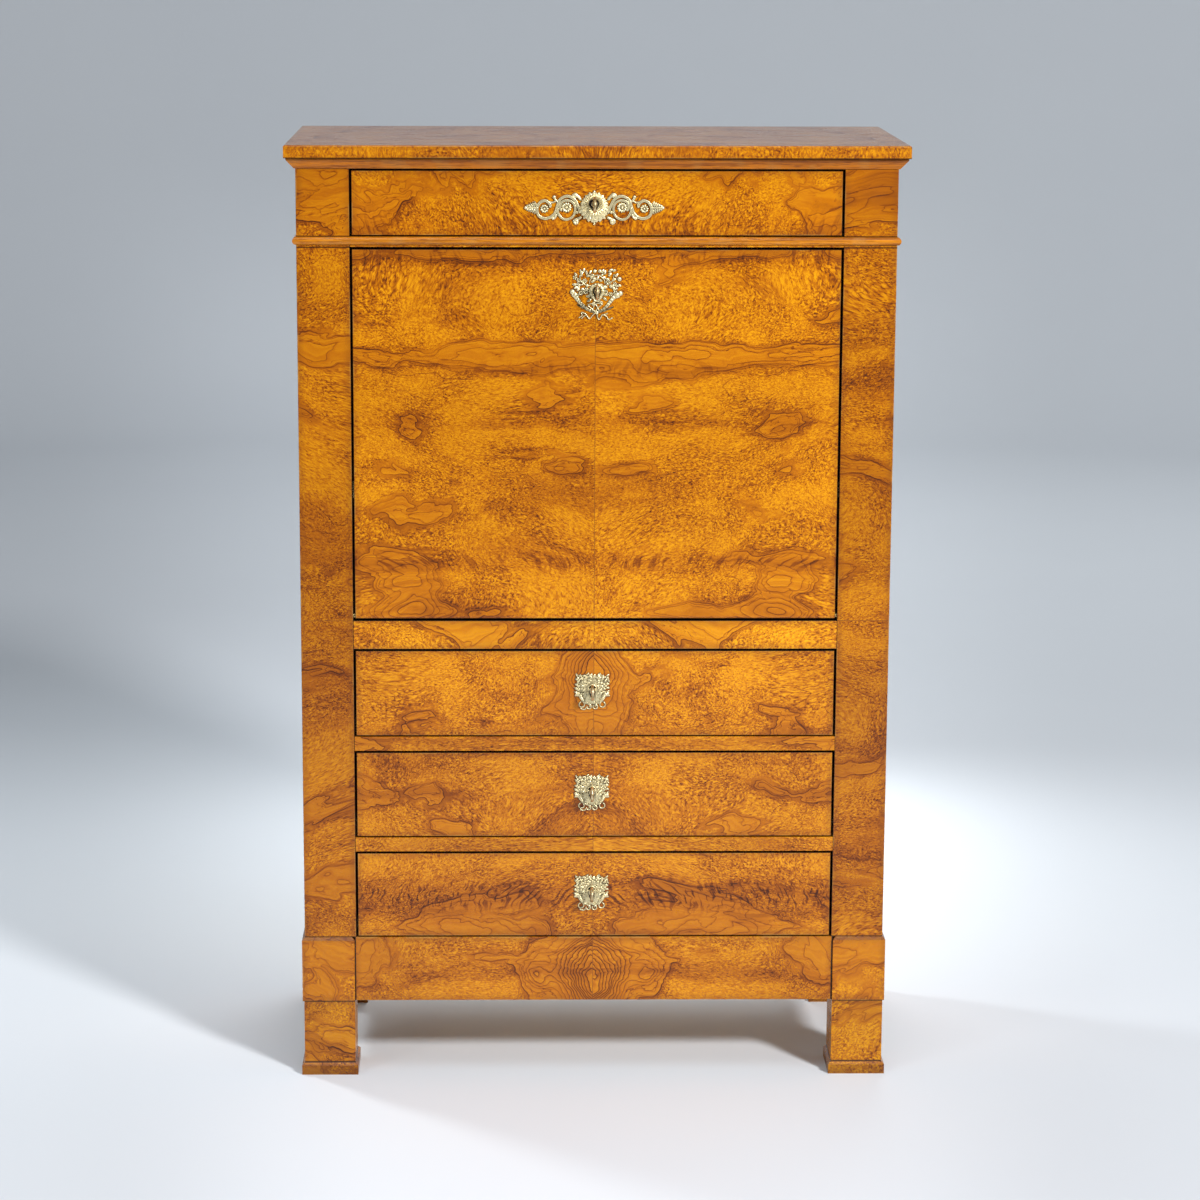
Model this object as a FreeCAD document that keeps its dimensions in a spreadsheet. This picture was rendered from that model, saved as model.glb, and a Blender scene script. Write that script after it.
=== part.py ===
"""Escritoire: a tall drop-front writing cabinet veneered in burr ash, modelled piece by piece in millimetres.

X runs to the right, Y to the back and Z up. The origin is on the floor, under the middle of the cabinet.
"""
import FreeCAD, Part
import math
import os
import re
import Sketcher

# Driving dimensions. Each one is set here alone, and every piece takes its size from them.
SIZES = {
    # Carcass
    "carcass_width": 932,
    "carcass_depth": 458,
    "side_thickness": 24,
    "pilaster_width": 83,
    "pilaster_thickness": 26,
    "board_thickness": 14,
    "kicker_thickness": 7,
    "bottom_board_thickness": 18,
    "floor_thickness": 18,
    "dado_depth": 8,
    "edge_easing": 0.8,
    # Heights from the floor upwards
    "toe_height": 20,
    "foot_height": 124,
    "plinth_height": 106,
    "drawer_opening": 143,
    "drawer_rail_height": 23,
    "fall_rail_height": 46,
    "fall_opening": 591,
    "frieze_rail_height": 16,
    "frieze_opening": 105,
    "cornice_height": 17,
    "top_thickness": 20,
    # Base
    "foot_width": 82,
    "foot_setback": 2.5,
    "toe_projection": 4.5,
    "plinth_projection": 4.5,
    "plinth_block": 84.5,
    "plinth_thickness": 24,
    # Mouldings and top
    "astragal_height": 13,
    "astragal_projection": 5.8,
    "cornice_projection": 14,
    "cornice_foot": 2,
    "cornice_fillet": 3,
    "top_overhang_side": 17,
    "top_overhang_front": 22,
    "top_edge_radius": 3,
    # Framed back
    "back_thickness": 20,
    "back_stile_width": 80,
    "back_rail_height": 90,
    "back_panel_thickness": 9,
    "back_groove": 8,
    # Drawers
    "face_recess": 1,
    "drawer_front_thickness": 22,
    "drawer_side_gap": 3,
    "drawer_top_gap": 3,
    "drawer_bottom_gap": 2,
    "runner_clearance": 0.3,
    "guide_clearance": 0.5,
    "guide_height": 24,
    "drawer_back_room": 37,
    "drawer_wall": 10,
    "drawer_side_drop": 8,
    "drawer_back_drop": 5,
    "drawer_bottom_thickness": 7,
    "drawer_bottom_lift": 9,
    "drawer_groove": 5,
    "tail_count": 3,
    "tail_length": 15,
    "tail_flare": 2.5,
    "tail_margin": 20,
    "tail_top_margin": 8,
    "stop_width": 36,
    "stop_depth": 14,
    "stop_height": 6,
    "stop_spacing": 420,
    # Fall and its pivots
    "fall_thickness": 24,
    "fall_side_gap": 3,
    "fall_top_gap": 3.5,
    "fall_bottom_gap": 1,
    "pivot_inset": 6,
    "lip_length": 12,
    "lip_thickness": 10,
    "swing_clearance": 0.6,
    "rebate_clearance": 1,
    "pin_radius": 4,
    "pin_clearance": 0.05,
    "pin_length": 9,
    "socket_radius": 5.5,
    "strap_thickness": 3,
    "strap_length": 60,
    "leather_side_margin": 75,
    "leather_margin": 62,
    "leather_thickness": 1.2,
    # Brass quadrants that carry the open fall
    "quadrant_radius": 200,
    "quadrant_width": 12,
    "quadrant_thickness": 4,
    "quadrant_inset": 8,
    "quadrant_foot_length": 64,
    "quadrant_foot_thickness": 2.5,
    "stud_radius": 4,
    "stud_length": 9,
    "stud_end": 6,
    "keeper_thickness": 6,
    "keeper_margin": 6,
    "keeper_clearance": 1,
    "slot_clearance": 3,
    # Locks, keys and mounts
    "key_reach": 38,
    "key_radius": 3,
    "key_collar_radius": 4.8,
    "key_collar_length": 3,
    "bow_radius": 10.2,
    "bow_wire": 2.2,
    "bit_reach": 10,
    "bit_thickness": 2.4,
    "bit_swing": 1.8,
    "key_clearance": 0.6,
    "drill_pin_radius": 1.5,
    "drill_pin_length": 10,
    "drill_pin_clearance": 0.08,
    "lock_width": 60,
    "lock_depth": 13,
    "lock_wall": 1.6,
    "lock_foot": 22,
    "bolt_width": 28,
    "bolt_thickness": 4,
    "bolt_clearance": 0.1,
    "bolt_setback": 4,
    "bolt_leg": 6,
    "bolt_throw": 8,
    "bolt_overrun": 1.5,
    "strike_clearance": 1,
    "drawer_lock_offset": -4.5,
    "drawer_key_drop": 65,
    "frieze_key_drop": 53.5,
    "fall_key_drop": 67,
    "mount_thickness": 2.2,
    "drawer_mount_drop": 70.5,
    "drawer_mount_width": 57,
    "drawer_mount_height": 59,
    "fall_mount_drop": 72,
    "fall_mount_width": 81,
    "fall_mount_height": 81,
    "frieze_mount_drop": 60,
    "boss_radius": 24,
    "scroll_band": 4,
    "scroll_reach": 42.5,
    "scroll_radius": 18,
    "scroll_rosette": 10,
    "tail_scroll_reach": 77,
    "tail_scroll_radius": 12,
    "tail_scroll_rosette": 6,
    "bud_radius": 4.5,
    "bud_rise": 7,
    "leaf_tip_length": 24,
    "leaf_tip_half": 5,
    # Inner gallery behind the fall
    "lining_thickness": 12,
    "gallery_setback": 112,
    "gallery_slot": 16,
    "gallery_board": 9,
    "gallery_column": 221,
    "small_opening": 88,
    "pigeonhole_height": 133,
    "small_gap": 0.8,
    "small_front": 12,
    "small_wall": 7,
    "small_bottom": 4,
    "small_back_room": 61,
    "small_back_drop": 6,
    "knob_length": 14,
    "knob_radius": 7.5,
    "knob_dome": 9,
    "knob_shoulder": 8.7,
    "knob_neck_end": 5.9,
    "knob_neck_start": 2.8,
    "knob_neck_radius": 3.2,
    "knob_foot_radius": 6,
}

# Places worked out from the driving dimensions.
LEVELS = {
    "half_width": "carcass_width / 2",
    "front": "-(carcass_depth - key_reach) / 2",
    "back": "front + carcass_depth",
    "frame_back": "front + pilaster_thickness",
    "inner_back": "back - back_thickness",
    "opening_half": "half_width - pilaster_width",
    "side_inner": "half_width - side_thickness",
    "plinth_outer": "half_width + plinth_projection",
    "plinth_inner": "plinth_outer - plinth_block",
    "plinth_side_inner": "plinth_outer - plinth_thickness - plinth_projection",
    "lower_base": "foot_height + plinth_height",
    "lower_rail": "lower_base + drawer_opening",
    "middle_base": "lower_rail + drawer_rail_height",
    "upper_rail": "middle_base + drawer_opening",
    "upper_base": "upper_rail + drawer_rail_height",
    "fall_rail": "upper_base + drawer_opening",
    "fall_base": "fall_rail + fall_rail_height",
    "frieze_rail": "fall_base + fall_opening",
    "frieze_base": "frieze_rail + frieze_rail_height",
    "cornice_base": "frieze_base + frieze_opening",
    "top_base": "cornice_base + cornice_height",
    "face": "front + face_recess",
    "drawer_half": "opening_half - drawer_side_gap",
    "fall_half": "opening_half - fall_side_gap",
    "pivot_depth": "face + pivot_inset",
    "pivot_level": "fall_base + fall_bottom_gap + pivot_inset",
    "fall_inner": "fall_thickness - pivot_inset",
    "fall_top": "frieze_rail - fall_top_gap",
    "lip_drop": "pivot_inset + lip_length",
    "lip_front": "fall_inner - lip_thickness",
    "floor_top": "pivot_level + fall_inner",
    "cove_radius": "sqrt(fall_inner ^ 2 + lip_drop ^ 2) + swing_clearance",
    "quadrant_outer": "quadrant_radius + quadrant_width / 2",
    "quadrant_core": "quadrant_radius - quadrant_width / 2",
    "quadrant_place": "fall_half - quadrant_inset / 2 - quadrant_thickness",
    "keeper_front": "frame_back - pivot_depth + keeper_clearance",
    "keeper_back": "keeper_front + keeper_thickness",
    "stud_drop": "keeper_back + stud_radius + swing_clearance",
    "quadrant_end": "stud_drop + stud_end",
    "gallery_half": "opening_half - gallery_slot",
    "gallery_front": "pivot_depth + fall_inner + gallery_setback",
    "drawer_depth": "inner_back - drawer_back_room - face",
    "small_depth": "inner_back - small_back_room - gallery_front",
    "column_outer": "gallery_half - gallery_board",
    "column_inner": "column_outer - gallery_column",
    "centre_half": "column_inner - gallery_board",
    "small_pitch": "small_opening + gallery_board",
    "shelf_level": "floor_top + 3 * small_pitch",
    "pigeon_shelf": "shelf_level + pigeonhole_height",
}

doc = FreeCAD.newDocument("Escritoire")
HOLDER = {alias: "Sizes." for alias in SIZES} | {alias: "Levels." for alias in LEVELS}
nodes = []


def formula(text):
    """Put the name of its sheet before each size that a formula names."""
    return re.sub(r"[a-z]\w*", lambda word: HOLDER.get(word.group(), "") + word.group(), str(text))


def make_sheet(name, cells):
    """Spreadsheet with one named cell to a row."""
    sheet = doc.addObject("Spreadsheet::Sheet", name)
    for row, (alias, content) in enumerate(cells.items(), 1):
        sheet.set(f"A{row}", alias)
        sheet.set(f"B{row}", content)
        sheet.setAlias(f"B{row}", alias)
    doc.recompute()
    return sheet


sizes = make_sheet("Sizes", {alias: str(number) for alias, number in SIZES.items()})
make_sheet("Levels", {alias: "=" + formula(text) for alias, text in LEVELS.items()})


def value(text):
    """Number that a formula gives now."""
    return float(sizes.evalExpression(formula(text)))


def bind(item, **properties):
    """Tie properties of an object to formulas."""
    for name, text in properties.items():
        item.setExpression(name, formula(text))
    return item


def place(item, x, y, z):
    """Tie the place of an object to three formulas."""
    for axis, text in zip("xyz", (x, y, z)):
        item.setExpression(f"Placement.Base.{axis}", formula(text))
    return item


def board(name, x, y, z):
    """Square-edged block between two formulas on each axis."""
    block = doc.addObject("Part::Box", name)
    lengths = [f"({high}) - ({low})" for low, high in (x, y, z)]
    bind(block, Length=lengths[0], Width=lengths[1], Height=lengths[2])
    return place(block, x[0], y[0], z[0])


def across(half, centre="0"):
    """Span of a piece that reaches half to each side of a centre."""
    return f"({centre}) - ({half})", f"({centre}) + ({half})"


TURNS = {
    "x": FreeCAD.Rotation(FreeCAD.Vector(0, 1, 0), 90),
    "y": FreeCAD.Rotation(FreeCAD.Vector(1, 0, 0), -90),
}


def rod(name, axis, radius, length, x, y, z):
    """Cylinder that starts at a place and runs along an axis."""
    cylinder = doc.addObject("Part::Cylinder", name)
    cylinder.Placement.Rotation = TURNS[axis]
    bind(cylinder, Radius=radius, Height=length)
    return place(cylinder, x, y, z)


def join(name, *pieces):
    """Union of pieces into one solid."""
    union = doc.addObject("Part::MultiFuse", name)
    union.Shapes = list(pieces)
    union.Refine = True
    return union


def cut(name, base, *tools):
    """Piece with one or more tools taken out of it."""
    carved = doc.addObject("Part::Cut", name)
    carved.Base = base
    carved.Tool = tools[0] if len(tools) == 1 else join(name + "_tools", *tools)
    return carved


def mirrored(name, source):
    """The same piece for the other side of the cabinet."""
    copy = doc.addObject("Part::Mirroring", name)
    copy.Source = source
    copy.Normal = FreeCAD.Vector(1, 0, 0)
    return copy


def node(name, *pieces):
    """Name one piece, or a group of separate pieces, as a sub-part."""
    part = pieces[0]
    if len(pieces) > 1:
        part = doc.addObject("Part::Compound", name)
        part.Links = list(pieces)
    part.Label = name
    nodes.append(part)
    return part


def origin_feature(body, role):
    """Plane or axis of a body's own origin."""
    return next(item for item in body.Origin.OriginFeatures if item.Role == role)


def new_body(name, x="0", y="0", z="0"):
    """Empty body at a place."""
    return place(doc.addObject("PartDesign::Body", name), x, y, z)


def arc_edge(start, end, radius, side):
    """Short arc from start to end whose centre is on the left or the right of the way along it."""
    chord = end - start
    rise = math.sqrt(max(radius ** 2 - chord.Length ** 2 / 4, 0))
    normal = FreeCAD.Vector(-chord.y, chord.x, 0).normalize()
    centre = (start + end) / 2 + normal * (rise if side == "left" else -rise)
    first, last = (start, end) if side == "left" else (end, start)
    angles = [math.atan2(point.y - centre.y, point.x - centre.x) for point in (first, last)]
    circle = Part.Circle(centre, FreeCAD.Vector(0, 0, 1), radius)
    return Part.ArcOfCircle(circle, *angles)


def draw(body, role, *outlines):
    """Sketch of closed outlines in a plane of the body.

    A corner is (u, v), or (u, v, radius, side) where the edge that leaves it is an arc.
    """
    sketch = body.newObject("Sketcher::SketchObject", body.Name + "_sketch")
    sketch.AttachmentSupport = (origin_feature(body, role), [""])
    sketch.MapMode = "FlatFace"
    for outline in outlines:
        points = [FreeCAD.Vector(value(corner[0]), value(corner[1]), 0) for corner in outline]
        first = sketch.GeometryCount
        ends = []
        for index, corner in enumerate(outline):
            start, end = points[index], points[(index + 1) % len(points)]
            if len(corner) == 2:
                sketch.addGeometry(Part.LineSegment(start, end))
                ends.append((1, 2))
            else:
                sketch.addGeometry(arc_edge(start, end, value(corner[2]), corner[3]))
                ends.append((1, 2) if corner[3] == "left" else (2, 1))
        for index, corner in enumerate(outline):
            edge = first + index
            after = (index + 1) % len(outline)
            start, end = ends[index]
            meeting = Sketcher.Constraint("Coincident", edge, end, first + after, ends[after][0])
            sketch.addConstraint(meeting)
            for kind, distance, text in zip(("DistanceX", "DistanceY"), points[index], corner):
                number = sketch.addConstraint(Sketcher.Constraint(kind, -1, 1, edge, start, distance))
                sketch.setExpression(f"Constraints[{number}]", formula(text))
            if len(corner) > 2:
                number = sketch.addConstraint(Sketcher.Constraint("Radius", edge, value(corner[2])))
                sketch.setExpression(f"Constraints[{number}]", formula(corner[2]))
    return sketch


def rectangle(low_u, high_u, low_v, high_v):
    """Four corners of an upright rectangle."""
    return [(low_u, low_v), (high_u, low_v), (high_u, high_v), (low_u, high_v)]


def pad(body, sketch, length, reverse=False, both_ways=False):
    """Solid raised from a sketch."""
    feature = body.newObject("PartDesign::Pad", body.Name + "_pad")
    feature.Profile = sketch
    feature.Reversed = reverse
    feature.Midplane = both_ways
    return bind(feature, Length=length)


def pocket_through(body, sketch):
    """Opening cut right through the body on both sides of a sketch."""
    feature = body.newObject("PartDesign::Pocket", body.Name + "_pocket")
    feature.Profile = sketch
    feature.Type = "ThroughAll"
    feature.Midplane = True
    return feature


def edges_where(feature, test):
    """Names of the straight edges whose two ends both pass a test."""
    doc.recompute()
    found = []
    for number, edge in enumerate(feature.Shape.Edges, 1):
        if all(test(vertex.Point) for vertex in edge.Vertexes):
            found.append(f"Edge{number}")
    return found


def dress(body, kind, feature, size, test):
    """Fillet or chamfer on the edges that pass a test."""
    dressing = body.newObject("PartDesign::" + kind, body.Name + "_" + kind.lower())
    dressing.Base = (feature, edges_where(feature, test))
    return bind(dressing, **{"Radius" if kind == "Fillet" else "Size": size})


def near(first, second):
    """True where two places agree."""
    return abs(first - second) < 1e-4


def panel(name, x, y, z):
    """Board in the front of the cabinet whose front edges are eased."""
    body = new_body(name, x[0], y[0], z[0])
    outline = rectangle("0", f"({x[1]}) - ({x[0]})", "0", f"({z[1]}) - ({z[0]})")
    block = pad(body, draw(body, "XZ_Plane", outline), f"({y[1]}) - ({y[0]})", reverse=True)
    dress(body, "Fillet", block, "edge_easing", lambda point: near(point.y, 0))
    return body


def stepped_block(name, x, y, z, bevel):
    """Upright block whose top edges are bevelled all round."""
    body = new_body(name, x[0], y[0], z[0])
    outline = rectangle("0", f"({x[1]}) - ({x[0]})", "0", f"({y[1]}) - ({y[0]})")
    block = pad(body, draw(body, "XY_Plane", outline), f"({z[1]}) - ({z[0]})")
    top = value(f"({z[1]}) - ({z[0]})")
    dress(body, "Chamfer", block, bevel, lambda point: near(point.z, top))
    return body


def moulding(name, base, reach, profile):
    """Mitred run round the front and both sides.

    The profile is a list of (out, up) corners from the carcass outwards, and reach is its widest out.
    """
    run = new_body(name + "_front", "0", "front", base)
    flip = {"left": "right", "right": "left"}
    forward = [(f"-({out})", up, *(flip.get(item, item) for item in arc)) for out, up, *arc in profile]
    pad(run, draw(run, "YZ_Plane", forward), f"carcass_width + 2 * ({reach})", both_ways=True)
    mitres = [
        [(f"{side} * half_width", "0"), (f"{side} * (half_width + ({reach}))", "0"),
         (f"{side} * (half_width + ({reach}))", f"-({reach})")]
        for side in (1, -1)
    ]
    pocket_through(run, draw(run, "XY_Plane", *mitres))
    side = new_body(name + "_side", "half_width", f"front - ({reach})", base)
    pad(side, draw(side, "XZ_Plane", profile), f"carcass_depth + ({reach})", reverse=True)
    mitre = [("0", "0"), (reach, "0"), ("0", reach)]
    pocket_through(side, draw(side, "XY_Plane", mitre))
    return run, side, mirrored(name + "_left", side)


# Feet: square blocks that stand on bevelled toes, two under the front corners and two at the back.
toe_half = "foot_width / 2 + toe_projection"
foot_x = "plinth_outer - foot_setback - foot_width / 2"
for end, foot_y in (("front", "front - plinth_projection + foot_setback + foot_width / 2"),
                    ("rear", f"back - ({toe_half})")):
    foot = board(end + "_foot", across("foot_width / 2", foot_x), across("foot_width / 2", foot_y),
                 ("toe_height", "foot_height"))
    toe = stepped_block(end + "_toe", across(toe_half, foot_x), across(toe_half, foot_y),
                        ("0", "toe_height"), "toe_projection")
    node(end + "_feet", foot, toe, mirrored(end + "_foot_left", foot), mirrored(end + "_toe_left", toe))

# Plinth: an apron between two bevelled corner blocks, with side and back boards behind them.
plinth_span = ("foot_height", "lower_base")
plinth_front_face = "front - plinth_projection"
plinth_block = stepped_block("plinth_block_right", ("plinth_inner", "plinth_outer"),
                             (plinth_front_face, f"{plinth_front_face} + plinth_block"), plinth_span,
                             "plinth_projection")
plinth_block_left = mirrored("plinth_block_left", plinth_block)
node("plinth_blocks", plinth_block, plinth_block_left)
apron = panel("apron", across("plinth_inner"), ("front", "front + plinth_thickness"), plinth_span)
node("plinth_front", apron)
plinth_side = new_body("plinth_side_right", "plinth_side_inner",
                       f"{plinth_front_face} + plinth_block", "foot_height")
plinth_side_profile = [
    ("0", "0"), ("plinth_outer - plinth_side_inner", "0"),
    ("plinth_outer - plinth_side_inner", "plinth_height - plinth_projection"),
    ("plinth_outer - plinth_side_inner - plinth_projection", "plinth_height"), ("0", "plinth_height"),
]
pad(plinth_side, draw(plinth_side, "XZ_Plane", plinth_side_profile),
    f"back - ({plinth_front_face} + plinth_block)", reverse=True)
plinth_back = board("plinth_back", across("plinth_side_inner"),
                    ("back - plinth_thickness", "back"), plinth_span)
node("plinth_frame", plinth_side, mirrored("plinth_side_left", plinth_side), plinth_back)

# Boards housed in the sides: a bottom, two dust boards, a kicker, the writing floor and the frieze board.
housed = across("side_inner + dado_depth")
behind_frame = ("frame_back", "inner_back")
bottom_board = cut("bottom_board", board("bottom_blank", across("plinth_side_inner"),
                                         ("front + plinth_thickness", "back - plinth_thickness"),
                                         ("lower_base - bottom_board_thickness", "lower_base")),
                   plinth_block, plinth_block_left)
middle_dust = board("middle_dust", housed, behind_frame, ("middle_base - board_thickness", "middle_base"))
upper_dust = board("upper_dust", housed, behind_frame, ("upper_base - board_thickness", "upper_base"))
kicker = board("kicker", housed, behind_frame, ("fall_rail", "fall_rail + kicker_thickness"))
frieze_board = board("frieze_board", housed, behind_frame, ("frieze_rail", "frieze_base"))
node("dust_boards", bottom_board, middle_dust, upper_dust, kicker, frieze_board)
slot_middle = "quadrant_place + quadrant_thickness / 2"
slot_half = "stud_length / 2 + keeper_clearance"
floor_slot = board("floor_slot", across(slot_half, slot_middle),
                   ("pivot_depth + quadrant_core - slot_clearance",
                    "pivot_depth + quadrant_outer + slot_clearance"),
                   ("floor_top - floor_thickness", "floor_top"))
cove = rod("floor_cove", "x", "cove_radius", "carcass_width", "-half_width", "pivot_depth", "pivot_level")
writing_floor = cut("floor_board", board("floor_blank", housed, behind_frame,
                                         ("floor_top - floor_thickness", "floor_top")),
                    cove, floor_slot, mirrored("floor_slot_left", floor_slot))
node("writing_floor", writing_floor)

# Sides of the carcass, with a dado for each housed board.
side_blank = board("side_blank", ("side_inner", "half_width"), ("frame_back", "back"),
                   ("lower_base", "top_base"))
housed_boards = (middle_dust, upper_dust, kicker, frieze_board, writing_floor)
side_right = cut("side_board_right", side_blank, *housed_boards)
node("side_right", side_right)
node("side_left", mirrored("side_board_left", side_right))

# Pilasters: a tall shaft at each corner with a bored socket for the fall's pivot, and a frieze block above.
socket_bore = rod("socket_bore", "x", "socket_radius", "pin_length + strap_thickness",
                  "opening_half", "pivot_depth", "pivot_level")
pilaster_depth = ("front", "frame_back")
pilaster_span = ("opening_half", "half_width")
shaft_blank = panel("shaft_blank", pilaster_span, pilaster_depth, ("lower_base", "frieze_base"))
shaft = cut("pilaster_shaft", shaft_blank, socket_bore)
frieze_block = panel("frieze_block", pilaster_span, pilaster_depth, ("frieze_base", "cornice_base"))
node("pilaster_right", shaft, frieze_block)
node("pilaster_left", mirrored("shaft_left", shaft), mirrored("frieze_block_left", frieze_block))
pin_bore = rod("pin_bore", "x", "pin_radius + pin_clearance", "pin_length + strap_thickness",
               "opening_half", "pivot_depth", "pivot_level")
socket = cut("pivot_socket", socket_bore, pin_bore)
node("pivot_sockets", socket, mirrored("pivot_socket_left", socket))


# Lock tools and pieces, shared by the fall and the four drawers.
def lock(prefix, key_x, key_z, edge, thickness):
    """Lock let into the back of a front: hollow case, forked bolt and key.

    Returns the mortise, the keyhole and the strike that its neighbours are cut by.
    """
    inner = f"face + {thickness}"
    case_y = (f"{inner} - lock_depth", inner)
    bolt_y = (f"{inner} - bolt_setback - bolt_thickness", f"{inner} - bolt_setback")
    case_z = (f"{key_z} - lock_foot", edge)
    mortise = board(prefix + "_mortise", across("lock_width / 2", key_x), case_y, case_z)
    hollow = board(prefix + "_hollow", across("lock_width / 2 - lock_wall", key_x),
                   (case_y[0], f"{inner} - lock_wall"),
                   (f"{case_z[0]} + lock_wall", f"{edge} - lock_wall"))
    bolt_hole = board(prefix + "_bolt_hole", across("bolt_width / 2 + bolt_clearance", key_x),
                      (f"{bolt_y[0]} - bolt_clearance", f"{bolt_y[1]} + bolt_clearance"),
                      (f"{edge} - lock_wall", edge))
    drill_pin = rod(prefix + "_drill_pin", "y", "drill_pin_radius", "drill_pin_length",
                    key_x, f"{inner} - lock_wall - drill_pin_length", key_z)
    shell = cut(prefix + "_shell", mortise, hollow, bolt_hole)
    node(prefix + "_lock", join(prefix + "_case", shell, drill_pin))

    fork_base = f"{key_z} - bit_reach"
    fork_gap = "bit_reach + bit_swing"
    window = f"{key_z} + {fork_gap}"
    fork_top = f"{edge} - lock_wall - bolt_throw - bolt_overrun"
    fork = board(prefix + "_fork", across(f"{fork_gap} + bolt_leg", key_x), bolt_y, (fork_base, fork_top))
    gap = board(prefix + "_fork_gap", across(fork_gap, key_x), bolt_y, (fork_base, window))
    tongue = board(prefix + "_tongue", across("bolt_width / 2", key_x), bolt_y,
                   (window, f"{edge} - key_clearance"))
    node(prefix + "_bolt", join(prefix + "_bolt_solid", cut(prefix + "_fork_cut", fork, gap), tongue))

    bow_y = "front - key_reach + bow_radius + bow_wire"
    tip = f"{inner} - lock_wall - key_clearance"
    shank = rod(prefix + "_shank", "y", "key_radius", f"({tip}) - ({bow_y} + bow_radius)",
                key_x, f"{bow_y} + bow_radius", key_z)
    bow = doc.addObject("Part::Torus", prefix + "_bow")
    bow.Placement.Rotation = TURNS["x"]
    place(bind(bow, Radius1="bow_radius", Radius2="bow_wire"), key_x, bow_y, key_z)
    collar = rod(prefix + "_collar", "y", "key_collar_radius", "key_collar_length",
                 key_x, f"{bow_y} + bow_radius + bow_wire", key_z)
    bit = board(prefix + "_bit", across("bit_thickness / 2", key_x),
                (f"{case_y[0]} + key_clearance", tip), (f"{key_z} - bit_reach", key_z))
    pipe = rod(prefix + "_pipe", "y", "drill_pin_radius + drill_pin_clearance", "drill_pin_length",
               key_x, f"({tip}) - drill_pin_length", key_z)
    key_blank = join(prefix + "_key_blank", shank, bow, collar, bit)
    node(prefix + "_key", cut(prefix + "_key_solid", key_blank, pipe))

    hole_y = ("face - mount_thickness", case_y[0])
    round_hole = rod(prefix + "_round_hole", "y", "key_radius + key_clearance",
                     f"({hole_y[1]}) - ({hole_y[0]})", key_x, hole_y[0], key_z)
    slot = board(prefix + "_slot", across("bit_thickness / 2 + key_clearance", key_x), hole_y,
                 (f"{key_z} - bit_reach - key_clearance", key_z))
    keyhole = join(prefix + "_keyhole", round_hole, slot)
    strike = board(prefix + "_strike", across("bolt_width / 2 + strike_clearance", key_x),
                   (f"{bolt_y[0]} - strike_clearance", f"{bolt_y[1]} + strike_clearance"),
                   (edge, f"{edge} + bolt_throw + bolt_overrun + strike_clearance"))
    return mortise, keyhole, strike


def disc(name, radius, x, z):
    """Flat round of a brass mount that lies on the front."""
    return rod(name, "y", radius, "mount_thickness", x, "face - mount_thickness", z)


BLOOMS = 7
HORN_STEPS = 6


def flower_mount(prefix, key_x, mount_z, width, height, keyhole):
    """Mount in the outline of two crossed horns of flowers, whose places are shares of its width and height.

    Blooms stand in an arch over a keyhole plate, the horns cross below it, and ribbon ends hang beside them.
    """
    shares = [(0, 0, 0.2)]
    for bloom in range(BLOOMS):
        angle = math.pi * bloom / (BLOOMS - 1)
        shares.append((0.37 * math.cos(angle), 0.37 * math.sin(angle), 0.13))
    for side in (-1, 1):
        shares.append((0.13 * side, 0.2, 0.06))
        shares.append((0.2 * side, -0.44, 0.06))
        for step in range(HORN_STEPS):
            along = step / (HORN_STEPS - 1)
            fall_off = -0.02 - 0.4 * math.sin(math.pi / 2 * along)
            shares.append((side * (0.3 - 0.5 * along), fall_off, 0.12 - 0.06 * along))
    rounds = [
        disc(f"{prefix}_round_{number}", f"{size:.4f} * {width}",
             f"{key_x} + {out:.4f} * {width}", f"{mount_z} + {up:.4f} * {height}")
        for number, (out, up, size) in enumerate(shares)
    ]
    node(prefix + "_escutcheon", cut(prefix + "_mount", join(prefix + "_mount_blank", *rounds), keyhole))


def scroll(name, radius, rosette, x, z):
    """Open scroll of a mount: a band round a rosette, with a stem between them."""
    opening = disc(name + "_opening", f"{radius} - scroll_band", x, z)
    band = cut(name + "_band", disc(name + "_rim", radius, x, z), opening)
    stem = board(name + "_stem", across("scroll_band / 2", x), ("face - mount_thickness", "face"),
                 (f"{z} - {radius} + scroll_band / 2", z))
    return [band, stem, disc(name + "_rosette", rosette, x, z)]


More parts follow.
